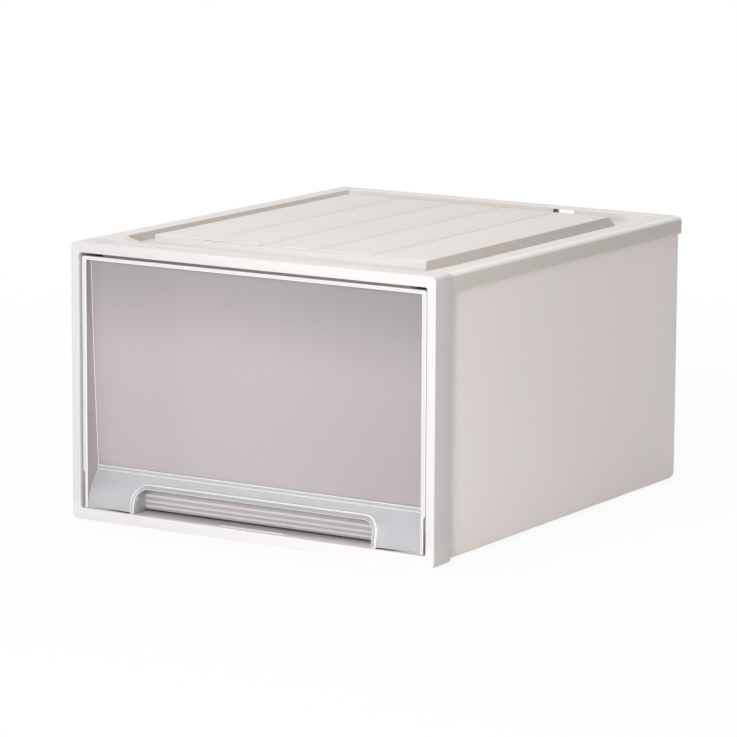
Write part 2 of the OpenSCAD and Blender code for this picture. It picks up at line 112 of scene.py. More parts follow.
def block(low: Point, high: Point, name: str = "cutter") -> Piece:
    """Add a box between two corners, with its place in its mesh.

    Args:
        low: The lowest corner.
        high: The highest corner.
        name: The object's name.

    Returns:
        The new object, at the origin.
    """
    bpy.ops.object.select_all(action="DESELECT")
    corner, far = Vector(low), Vector(high)
    bpy.ops.mesh.primitive_cube_add(size=1, location=(corner + far) / 2, scale=far - corner)
    piece = bpy.context.active_object
    bpy.ops.object.transform_apply(location=True, rotation=True, scale=True)
    piece.name = name
    return piece


def open_for_edit(piece: Piece, part: str) -> bmesh.types.BMesh:
    """Enter edit mode with nothing selected.

    Args:
        piece: The object to edit.
        part: VERT, EDGE or FACE.

    Returns:
        The mesh being edited.
    """
    activate(piece)
    bpy.ops.object.mode_set(mode="EDIT")
    bpy.ops.mesh.select_mode(type=part)
    bpy.ops.mesh.select_all(action="DESELECT")
    return bmesh.from_edit_mesh(piece.data)


def close_edit() -> None:
    """Go back to object mode."""
    bpy.ops.object.mode_set(mode="OBJECT")


def pick_edges(piece: Piece, test: EdgeTest) -> None:
    """Enter edit mode with the edges selected that pass a test.

    Args:
        piece: The object to edit.
        test: Says which edges are wanted.
    """
    for edge in open_for_edit(piece, "EDGE").edges:
        if test(edge.verts[0].co, edge.verts[1].co):
            edge.select_set(True)
    bmesh.update_edit_mesh(piece.data)


def pick_faces(piece: Piece, test: FaceTest) -> None:
    """Enter edit mode with the faces selected that pass a test.

    Args:
        piece: The object to edit.
        test: Says which faces are wanted.
    """
    for face in open_for_edit(piece, "FACE").faces:
        if test(face.calc_center_median(), face.normal):
            face.select_set(True)
    bmesh.update_edit_mesh(piece.data)


def shift(by: Point) -> None:
    """Move what is selected and leave edit mode."""
    bpy.ops.transform.translate(value=by)
    close_edit()


def narrow(share: float) -> None:
    """Narrow what is selected towards the middle plane and leave edit mode."""
    bpy.ops.transform.resize(value=(share, 1, 1), center_override=(0, 0, 0))
    close_edit()


def draw_out(by: Point) -> None:
    """Draw the selected faces out, and leave the new ones selected."""
    bpy.ops.mesh.extrude_region_move(TRANSFORM_OT_translate={"value": by})


def split_level(piece: Piece, height: float) -> None:
    """Split the faces of a piece that cross a height.

    Args:
        piece: The object to edit.
        height: Where its faces are split.
    """
    open_for_edit(piece, "FACE")
    bpy.ops.mesh.select_all(action="SELECT")
    bpy.ops.mesh.bisect(plane_co=(0, 0, height), plane_no=(0, 0, 1))
    close_edit()


def faces_up(centre: Vector, normal: Vector) -> bool:
    """Say whether a face looks upwards."""
    return normal.z > FACING


def runs(axis: Axis, **at: float) -> EdgeTest:
    """Make a test for edges that run along an axis at given coordinates.

    Args:
        axis: The direction of the edges.
        **at: The coordinates x, y or z that both ends have.

    Returns:
        The test.
    """
    places = [("xyz".index(letter), value) for letter, value in at.items()]

    def test(a: Vector, b: Vector) -> bool:
        """Say whether an edge runs along the axis in its place."""
        along = abs((b - a)[axis.value]) > (b - a).length - TOUCH
        return along and all(abs(a[i] - v) < TOUCH and abs(b[i] - v) < TOUCH for i, v in places)

    return test


def lies_in(axis: Axis, value: float) -> EdgeTest:
    """Make a test for edges that lie in the plane square to an axis at a value."""
    return lambda a, b: abs(a[axis.value] - value) < TOUCH and abs(b[axis.value] - value) < TOUCH


def loop_but_front(height: float, front: float) -> EdgeTest:
    """Make a test for edges that lie at a height, apart from those along the front."""
    level, along_front = lies_in(Axis.Z, height), lies_in(Axis.Y, front)
    return lambda a, b: level(a, b) and not along_front(a, b)


def round_edges(piece: Piece, test: EdgeTest, radius: float, steps: int = 5) -> None:
    """Round the edges that pass a test.

    Args:
        piece: The object to shape.
        test: Says which edges are rounded.
        radius: The radius of the rounding.
        steps: The number of flats that make it up.
    """
    pick_edges(piece, test)
    bpy.ops.mesh.bevel(offset=radius, offset_type="OFFSET", segments=steps, affect="EDGES")
    close_edit()


def round_graded(piece: Piece, radius_at: Callable[[Vector], float], steps: int) -> None:
    """Round edges by a radius that changes from place to place.

    Args:
        piece: The object to shape.
        radius_at: Gives the radius for an edge's middle, and 0 for an edge that stays sharp.
        steps: The number of flats that make up a rounding.
    """
    mesh = piece.data
    middles = [sum((mesh.vertices[i].co for i in e.vertices), Vector()) / 2 for e in mesh.edges]
    radii = [radius_at(middle) for middle in middles]
    widest = max(radii)
    weights = mesh.attributes.new("bevel_weight_edge", "FLOAT", "EDGE")
    weights.data.foreach_set("value", [radius / widest for radius in radii])
    rounding = piece.modifiers.new("rounding", "BEVEL")
    rounding.limit_method = "WEIGHT"
    rounding.width = widest
    rounding.segments = steps
    apply_modifier(piece, rounding)
    left = piece.data.attributes.get("bevel_weight_edge")
    if left is not None:
        piece.data.attributes.remove(left)


def apply_modifier(piece: Piece, modifier: bpy.types.Modifier) -> None:
    """Apply one of an object's modifiers to its mesh."""
    activate(piece)
    bpy.ops.object.modifier_apply(modifier=modifier.name)


def combine(piece: Piece, tool: Piece, how: Blend) -> Piece:
    """Add, cut or keep with a second shape, which is used up.

    Args:
        piece: The shape that is changed.
        tool: The shape that changes it.
        how: What is done.

    Returns:
        The changed shape.
    """
    step = piece.modifiers.new(how.name, "BOOLEAN")
    step.operation = how.value
    step.solver = "EXACT"
    step.object = tool
    apply_modifier(piece, step)
    bpy.data.objects.remove(tool)
    return piece


def mirrored(piece: Piece) -> Piece:
    """Copy a shape to the other side of the middle plane.

    Args:
        piece: The shape to copy.

    Returns:
        The copy, with its own mesh.
    """
    other = piece.copy()
    other.data = piece.data.copy()
    bpy.context.scene.collection.objects.link(other)
    other.data.transform(Matrix.Diagonal((-1, 1, 1, 1)))
    other.data.flip_normals()
    return other


def shape_both_sides(piece: Piece, tool: Piece, how: Blend) -> None:
    """Use a shape and its mirror image on a piece.

    Args:
        piece: The shape that is changed.
        tool: The shape on the right, which is used up.
        how: What is done.
    """
    other = mirrored(tool)
    combine(piece, tool, how)
    combine(piece, other, how)


def cut_box(piece: Piece, low: Point, high: Point, both_sides: bool = False) -> None:
    """Cut a box out of a piece.

    Args:
        piece: The shape that is changed.
        low: The box's lowest corner.
        high: The box's highest corner.
        both_sides: Whether its mirror image is cut too.
    """
    use = shape_both_sides if both_sides else combine
    use(piece, block(low, high), Blend.CUT)


def rising_wall(
    half: float, thickness: float, heights: Sequence[float], depth_at: Callable[[float], float]
) -> Piece:
    """Raise a wall step by step so that its face follows a curve.

    Args:
        half: Half of the wall's width.
        thickness: How thick the wall is, measured along Y.
        heights: The heights of the steps, lowest first.
        depth_at: Gives the y of the wall's face at a height.

    Returns:
        The wall as a closed shape.
    """
    foot, first = heights[0], heights[1]
    face = depth_at(foot)
    wall = block((-half, face, foot), (half, face + thickness, first))
    pick_faces(wall, faces_up)
    bpy.ops.transform.translate(value=(0, depth_at(first) - face, 0))
    for low, high in pairwise(heights[1:]):
        draw_out((0, depth_at(high) - depth_at(low), high - low))
    close_edit()
    return wall


def finish_edges(
    piece: Piece, radius: float, sharpest: float = 32, full_radius: bool = True
) -> None:
    """Clean a finished shape, break its sharp edges and shade it smooth.

    Args:
        piece: The shape, with its materials.
        radius: The small radius that a mould leaves on every edge.
        sharpest: The angle in degrees past which an edge counts as sharp.
        full_radius: Whether short edges leave the radius as it is, and don't make it smaller.
    """
    open_for_edit(piece, "VERT")
    bpy.ops.mesh.select_all(action="SELECT")
    bpy.ops.mesh.remove_doubles(threshold=TOUCH)
    bpy.ops.mesh.dissolve_limited(angle_limit=FLAT_ANGLE)
    bpy.ops.mesh.normals_make_consistent(inside=False)
    close_edit()
    breaking = piece.modifiers.new("mould_radius", "BEVEL")
    breaking.width = radius
    breaking.segments = 2
    breaking.limit_method = "ANGLE"
    breaking.angle_limit = math.radians(sharpest)
    breaking.use_clamp_overlap = not full_radius
    # the rounded edges take the edge finish, with its painted highlight
    breaking.material = EDGE_HIGHLIGHT_PLACE
    apply_modifier(piece, breaking)
    activate(piece)
    bpy.ops.object.shade_smooth_by_angle(angle=math.radians(sharpest))


# ---- Finishes ----


@dataclass(frozen=True)
class Wiring:
    """The node tree of a material or of the world while it is wired."""

    tree: bpy.types.NodeTree

    @classmethod
    def of(cls, owner: bpy.types.Material | bpy.types.World, keep: bool = False) -> "Wiring":
        """Start the wiring of a material or world.

        Args:
            owner: The material or world.
            keep: Whether the nodes that it starts with stay.

        Returns:
            Its wiring.
        """
        owner.use_nodes = True
        if not keep:
            owner.node_tree.nodes.clear()
        return cls(owner.node_tree)

    def add(self, kind: str, feeds: Feeds | None = None, **settings: str) -> bpy.types.Node:
        """Add a node.

        Args:
            kind: The node's kind.
            feeds: A value or another node's output for each input that isn't left as it is.
            **settings: What else is set.

        Returns:
            The node.
        """
        node = self.tree.nodes.new("ShaderNode" + kind)
        for name, value in settings.items():
            setattr(node, name, value)
        self.feed(node, feeds or {})
        return node

    def feed(self, node: bpy.types.Node, feeds: Feeds) -> None:
        """Set or link a node's inputs.

        Args:
            node: The node.
            feeds: A value or another node's output for each of the inputs.
        """
        for name, value in feeds.items():
            if isinstance(value, Socket):
                self.tree.links.new(value, node.inputs[name])
            else:
                node.inputs[name].default_value = value

    def noise(self, place: Socket, scale: float, detail: float) -> Socket:
        """Give a noise from 0 to 1 by place."""
        feeds: Feeds = {"Vector": place, "Scale": scale, "Detail": detail}
        return self.add("TexNoise", feeds).outputs["Fac"]

    def tint(self, first: Colour, second: Colour, share: Socket) -> Socket:
        """Mix two colours by the share of the second."""
        feeds: Feeds = {"A": (*first, 1), "B": (*second, 1), "Factor": share}
        return self.add("Mix", feeds, data_type="RGBA").outputs["Result"]

    def along(self, place: Socket, axis: Axis) -> Socket:
        """Give a place's coordinate on one axis."""
        return self.add("SeparateXYZ", {"Vector": place}).outputs[axis.name]

    def ramp(self, value: Socket, start: float, end: float, low: float, high: float) -> Socket:
        """Change softly from low to high while a value goes from start to end."""
        feeds: Feeds = {"Value": value, "From Min": start, "From Max": end}
        feeds |= {"To Min": low, "To Max": high}
        return self.add("MapRange", feeds, interpolation_type="SMOOTHSTEP").outputs["Result"]

    def seen_directly(self) -> Socket:
        """Tell rays that look at a thing from rays that carry its light.

        Returns:
            An output that is 1 for camera, glossy and transmission rays.
        """
        path = self.add("LightPath")
        total = path.outputs["Is Camera Ray"]
        for kind in ("Is Glossy Ray", "Is Transmission Ray"):
            either = self.add("Math", {0: total, 1: path.outputs[kind]}, operation="MAXIMUM")
            total = either.outputs["Value"]
        return total

    def end(self, kind: str, share: Socket, light: Socket, look: Socket) -> None:
        """Mix two shaders into the tree's end.

        Args:
            kind: The kind of output node.
            share: The share of the second shader.
            light: The first shader.
            look: The second shader.
        """
        mix = self.add("MixShader", {"Fac": share, 1: light, 2: look})
        self.add(kind, {"Surface": mix.outputs["Shader"]})


@dataclass(frozen=True)
class PaintedLightFade:
    """Painted light and shade: a slow change of tone along one axis, from 1 at its start to another
    tone at its end.
    """

    axis: Axis
    start: float
    end: float
    tone: float

    def over(self, colour: Socket, place: Socket, wiring: Wiring) -> Socket:
        """Multiply a colour by the tone of the painted light and shade.

        Args:
            colour: The colour before it.
            place: The place on the piece.
            wiring: The material's wiring.

        Returns:
            The colour after it.
        """
        tone = wiring.ramp(wiring.along(place, self.axis), self.start, self.end, 1, self.tone)
        product = wiring.add("VectorMath", {0: colour, "Scale": tone}, operation="SCALE")
        return product.outputs["Vector"]


@dataclass(frozen=True)
class Plastic:
    """A moulded plastic: its colour with a slow drift, its gloss, its grain and its clearness."""

    name: str
    colour: Colour
    drift: Colour
    drift_scale: float = 5.0
    roughness: float = 0.4
    grain_scale: float = 900.0
    grain_depth: float = 0.00004
    transmission: float = 0.0
    ior: float = 1.49
    # how far the painted highlight on edges lifts their colour towards white
    edge_highlight: float = 0.35
    edge_roughness: float = 0.8
    drift_detail: float = 1.0
    grain_detail: float = 2.0
    grain_strength: float = 0.5
    painted_light_fades: tuple[PaintedLightFade, ...] = ()

    def toned(self, name: str, colour: Colour, drift: Colour, **others: float) -> "Plastic":
        """Give the same plastic in another tone, and with what else is other about it."""
        return replace(self, name=name, colour=colour, drift=drift, **others)

    def edge(self) -> "Plastic":
        """Give the plastic for a thin edge: paler by a painted highlight, smoother and less clear.

        Returns:
            The edge's plastic, with its painted highlight.
        """

        def lifted(colour: Colour) -> Colour:
            """Move a colour towards white by the share of the edge's painted highlight."""
            red, green, blue = (part + (1 - part) * self.edge_highlight for part in colour)
            return red, green, blue

        return self.toned(
            self.name + "_edge", lifted(self.colour), lifted(self.drift),
            roughness=self.roughness * self.edge_roughness,
            transmission=self.transmission * (1 - self.edge_highlight),
        )

    def make(self) -> bpy.types.Material:
        """Build the material.

        Returns:
            The procedural material.
        """
        material = bpy.data.materials.new(self.name)
        wiring = Wiring.of(material, keep=True)
        place = wiring.add("TexCoord").outputs["Object"]
        cloud = wiring.noise(place, self.drift_scale, self.drift_detail)
        colour = wiring.tint(self.colour, self.drift, cloud)
        for painted_light_fade in self.painted_light_fades:
            colour = painted_light_fade.over(colour, place, wiring)
        grain: Feeds = {
            "Height": wiring.noise(place, self.grain_scale, self.grain_detail),
            "Distance": self.grain_depth, "Strength": self.grain_strength,
        }
        wiring.feed(wiring.tree.nodes["Principled BSDF"], {
            "Base Color": colour, "Normal": wiring.add("Bump", grain).outputs["Normal"],
            "Roughness": self.roughness, "IOR": self.ior, "Transmission Weight": self.transmission,
        })
        return material


# The frame's fades are painted light and shade: lighter towards the foot, darker towards the left.
FRAME_PLASTIC = Plastic(
    "frame_satin_plastic", (0.73, 0.71, 0.705), (0.75, 0.73, 0.725), roughness=0.36,
    painted_light_fades=(PaintedLightFade(Axis.Z, 0.03, 0.008, 1.1), PaintedLightFade(Axis.X, 0.15, -0.21, 0.9)),
)
# Painted shade: the lip's face in the shaded gap over the drawer.
FRAME_GAP_SHADE_PLASTIC = FRAME_PLASTIC.toned(
    "frame_gap_painted_shade", (0.36, 0.30, 0.27), (0.38, 0.32, 0.29)
)
PANEL_PLASTIC = Plastic(
    "panel_matt_plastic", (0.68, 0.643, 0.62), (0.705, 0.668, 0.645), roughness=0.5, edge_highlight=0.42
)
# Painted highlight: the rims' tops and roundings, lighter and glossier than the deck.
PANEL_RIM_HIGHLIGHT_PLASTIC = PANEL_PLASTIC.toned(
    "panel_rim_painted_highlight", (0.80, 0.775, 0.755), (0.82, 0.795, 0.775), roughness=0.3
)
# Painted shade: the dark floors of the grooves.
PANEL_GROOVE_SHADE_PLASTIC = PANEL_PLASTIC.toned(
    "panel_groove_painted_shade", (0.44, 0.41, 0.39), (0.48, 0.45, 0.43)
)
# Painted shade: darker and browner on the faces to the left and right.
PANEL_SIDE_SHADE_PLASTIC = PANEL_PLASTIC.toned(
    "panel_side_painted_shade", (0.65, 0.605, 0.565), (0.67, 0.625, 0.585)
)
SHELL_PLASTIC = Plastic(
    "shell_milky_plastic", (0.93, 0.835, 0.815), (0.875, 0.84, 0.80), 4.5, 0.42
)
TUB_PLASTIC = Plastic(
    "tub_translucent_plastic", (0.88, 0.80, 0.81), (0.92, 0.84, 0.85), 4.0, 0.3,
    transmission=0.12, edge_highlight=0.9,
)
# Painted shade: the darker rounding between the tub's floor and walls.
TUB_FOLD_SHADE_PLASTIC = TUB_PLASTIC.toned("tub_fold_painted_shade", (0.74, 0.69, 0.71), (0.77, 0.72, 0.73))
TUB_FRONT_PLASTIC = Plastic(
    "tub_front_clear_plastic", (0.97, 0.94, 0.95), (0.98, 0.95, 0.96), 4.0, 0.03, transmission=1.0
)
# The window's fades are painted shade: darker towards the top and towards the right.
WINDOW_PLASTIC = Plastic(
    "window_clear_plastic", (0.99, 0.90, 0.93), (0.99, 0.92, 0.94), 4.0, 0.06, transmission=0.62,
    painted_light_fades=(PaintedLightFade(Axis.Z, 0.17, 0.274, 0.79), PaintedLightFade(Axis.X, -0.02, 0.19, 0.92)),
)
# Painted highlight: the ribs are lighter and less clear than the window.
RIB_HIGHLIGHT_PLASTIC = WINDOW_PLASTIC.toned(
    "window_rib_painted_highlight", (0.99, 0.95, 0.95), (0.99, 0.96, 0.96), transmission=0.4
)
RIM_PLASTIC = Plastic(
    "rim_clear_plastic", (0.74, 0.74, 0.78), (0.77, 0.77, 0.81), 12.0, 0.2,
    transmission=0.12, edge_highlight=0.9,
)
HANDLE_PLASTIC = Plastic(
    "handle_frosted_plastic", (0.95, 0.95, 0.99), (0.97, 0.97, 1.0), 14.0, 0.06,
    transmission=0.58, edge_highlight=0.95,
)


def dress(piece: Piece, slot: str, *finishes: Plastic) -> None:
    """Give a piece its finishes.

    Args:
        piece: The piece.
        slot: Not used.
        *finishes: What it is made of, the main one first. Its edge finish, with a painted
                   highlight, follows it.
    """
    main_finish, *others = finishes
    piece.data.materials.clear()
    for finish in (main_finish, main_finish.edge(), *others):
        piece.data.materials.append(finish.make())


def refinish(piece: Piece, place: int, test: FaceTest) -> None:
    """Give the faces that pass a test another of the piece's finishes.

    Args:
        piece: The piece.
        place: The finish's place on the piece.
        test: Says which faces have that finish.
    """
    for face in piece.data.polygons:
        if test(face.center, face.normal):
            face.material_index = place


def settle(piece: Piece, node: str, body: str) -> None:
    """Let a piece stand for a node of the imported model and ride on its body.

    Args:
        piece: The finished piece.
        node: The node that it replaces.
        body: The body that it moves with.
    """
    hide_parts(node)
    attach(piece, body)
    LOG.info("%s: %d faces, for %s", piece.name, len(piece.data.polygons), node)


# ---- Sizes that several mouldings share ----


@dataclass(frozen=True)
class Layout:
    """Where the case's outer faces lie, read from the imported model."""

    half: float
    front: float
    back: float
    rim_top: float
    deck_top: float

    @classmethod
    def from_frame(cls) -> "Layout":
        """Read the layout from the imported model."""
        (low, high), (_, panel_high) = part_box("front_frame"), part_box("top_panel")
        return cls(high.x, low.y, panel_high.y, high.z, panel_high.z)

    def y(self, depth: float) -> float:
        """Turn a depth behind the front face into a y."""
        return self.front + depth

    def shelf_z(self, depth: float) -> float:
        """Give the height of the sloping shelf at a depth."""
        return self.rim_top - SHELF_FALL / (DECK_FRONT - BROW) * (depth - BROW)


SHELF_FALL = 0.006         # how far the shelf falls before it meets the deck
DECK_FRONT = 0.0725        # depth of the deck's front wall
BROW = 0.004               # radius of the front edge along the frame's top
RIM_WIDTH = 0.0254         # width of the side rims
RAMP_WIDTH = 0.025         # width of the ramps beside the shelf
FRAME_DEPTH = 0.032        # depth of the front frame
FIT_GAP = 0.0003           # gap between mouldings that snap together
RUN_GAP = 0.0006           # gap between the drawer and the frame's lip
LIP_RISE = 0.0001          # how far the cut-out's lip ends above the handle's foot


@dataclass(frozen=True)
class Opening:
    """The opening of the case, its stop lip and the gaps to the drawer."""

    layout: Layout
    side_bar: float = 0.0097
    top_bar: float = 0.0108
    sill: float = 0.012
    corner: float = 0.0025
    lip_depth: float = 0.0103
    lip_side: float = 0.0037
    lip_drop: float = 0.0048

    @property
    def half(self) -> float:
        """Half of the opening's width."""
        return self.layout.half - self.side_bar

    @property
    def top(self) -> float:
        """Upper edge of the opening."""
        return self.layout.rim_top - self.top_bar

    @property
    def lip_half(self) -> float:
        """Half of the width between the stop lips."""
        return self.half - self.lip_side

    @property
    def lip_top(self) -> float:
        """Lower edge of the stop lip along the top."""
        return self.top - self.lip_drop


@dataclass(frozen=True)
class WindowCurve:
    """The leaning, gently bowed line that the window and the tub's front follow."""

    layout: Layout
    top: float
    foot: float
    depth: float = 0.0125
    lean: float = 0.03
    bow: float = 0.0054

    def y(self, z: float) -> float:
        """Give the y of the window's face at a height."""
        drop = self.top - z
        bowed = self.bow * (drop / (self.top - self.foot)) ** 2
        return self.layout.y(self.depth + self.lean * drop + bowed)

    def heights(self, low: float, high: float, steps: int = 12) -> list[float]:
        """Give evenly spaced heights between two heights."""
        return [low + (high - low) * i / steps for i in range(steps + 1)]


def shelf_wedge(layout: Layout, front: float, back: float) -> Piece:
    """Make the wedge that is cut away over the sloping shelf and its side ramps.

    Args:
        layout: The case's outer faces.
        front: The depth at which it starts.
        back: The depth at which it ends.

    Returns:
        The wedge.
    """
    half, ceiling = layout.half - RIM_WIDTH, layout.rim_top + OVERRUN
    wedge = block((-half, layout.y(front), layout.shelf_z(front)), (half, layout.y(back), ceiling))
    pick_edges(wedge, runs(Axis.X, y=layout.y(back), z=layout.shelf_z(front)))
    shift((0, 0, layout.shelf_z(back) - layout.shelf_z(front)))
    deepest = SHELF_FALL + OVERRUN
    foot_half = half - RAMP_WIDTH * deepest / SHELF_FALL
    ramps = block(
        (-half, layout.y(front) - OVERRUN, layout.rim_top - deepest),
        (half, layout.y(back) + OVERRUN, layout.rim_top),
    )
    pick_faces(ramps, lambda centre, normal: normal.z < -FACING)
    narrow(foot_half / half)
    pick_faces(ramps, faces_up)
    draw_out((0, 0, 2 * OVERRUN))
    close_edit()
    return combine(wedge, ramps, Blend.KEEP)


# ---- Case ----


@dataclass
class FrontFrame:
    """The opaque surround of the drawer, with its sill, stop lip and corner notches."""

    layout: Layout
    opening: Opening
    wall: float = 0.0022
    corner: float = 0.0055
    edge: float = 0.0023
    heel: float = 0.005
    notch_top: float = 0.023
    notch_side: float = 0.026
    notch_foot: float = 0.038
    ridge_length: float = 0.077
    ridge_width: float = 0.0014
    ridge_height: float = 0.0008
    ridge_depth: float = 0.0064
    mould_radius: float = 0.0005

    def build(self) -> Piece:
        """Model the frame.

        Returns:
            The finished piece.
        """
        piece = self.surround()
        self.cut_hollow(piece)
        self.cut_opening(piece)
        combine(piece, shelf_wedge(self.layout, BROW, FRAME_DEPTH + OVERRUN), Blend.CUT)
        combine(piece, self.ridge(), Blend.ADD)
        dress(piece, "frame_plastic", FRAME_PLASTIC, FRAME_GAP_SHADE_PLASTIC)
        finish_edges(piece, self.mould_radius, full_radius=False)
        # the lip's front face over the drawer takes the painted shade of the gap
        lip = self.layout.y(self.opening.lip_depth) - TOUCH
        refinish(
            piece, GAP_SHADE_PLACE,
            lambda centre, normal: centre.y > lip and centre.z > self.opening.lip_top
            and abs(centre.x) < self.opening.half and normal.y < -FACING,
        )
        return piece

    def surround(self) -> Piece:
        """Round the outside of the frame.

        Returns:
            The frame's solid outer form.
        """
        at = self.layout
        front, rear = at.front, at.y(FRAME_DEPTH)
        piece = block((-at.half, front, 0), (at.half, rear, at.rim_top), "front_frame_moulding")
        round_edges(piece, runs(Axis.Y), self.corner, steps=8)

        def radius_at(middle: Vector) -> float:
            """Give the radius of the front loop and of the rear edge underneath."""
            if abs(middle.y - front) < TOUCH:
                return BROW if middle.z > at.rim_top - self.corner / 2 else self.edge
            under = abs(middle.y - rear) < TOUCH and middle.z < TOUCH
            return self.heel if under and abs(middle.x) < TOUCH else 0

        round_graded(piece, radius_at, steps=6)
        return piece

    def cut_opening(self, piece: Piece) -> None:
        """Cut the opening, the lip behind it and the lip's notches.

        Args:
            piece: The frame.
        """
        at, hole = self.layout, self.opening
        lip, rear = at.y(hole.lip_depth), at.y(FRAME_DEPTH) + OVERRUN
        mouth = block((-hole.half, at.front - OVERRUN, hole.sill), (hole.half, lip, hole.top))
        round_edges(mouth, runs(Axis.Y), hole.corner, steps=5)
        combine(piece, mouth, Blend.CUT)
        cut_box(
            piece, (-hole.lip_half, lip - OVERRUN, hole.sill), (hole.lip_half, rear, hole.lip_top)
        )
        cut_box(
            piece, (hole.half - self.notch_top, lip - OVERRUN, hole.top - self.notch_side),
            (hole.half, rear, hole.top), both_sides=True,
        )
        cut_box(
            piece, (hole.lip_half - OVERRUN, lip - OVERRUN, hole.sill),
            (hole.half, rear, hole.sill + self.notch_foot), both_sides=True,
        )

    def cut_hollow(self, piece: Piece) -> None:
        """Cut the hollow that takes the front of the body shell.

        Args:
            piece: The frame.
        """
        at, hole = self.layout, self.opening
        start, rear = at.y(self.wall), at.y(FRAME_DEPTH) + OVERRUN
        roof = at.shelf_z(FRAME_DEPTH) - self.wall
        ring = block((-at.half + self.wall, start, self.wall), (at.half - self.wall, rear, roof))
        cut_box(
            ring, (-hole.half - self.wall, start - OVERRUN, hole.sill - self.wall),
            (hole.half + self.wall, rear + OVERRUN, hole.top + self.wall),
        )
        combine(piece, ring, Blend.CUT)

    def ridge(self) -> Piece:
        """Make the thin ridge in the middle of the sill."""
        front, sill = self.layout.y(self.ridge_depth), self.opening.sill
        half = self.ridge_length / 2
        high = (half, front + self.ridge_width, sill + self.ridge_height)
        return block((-half, front, sill - ROOT), high)


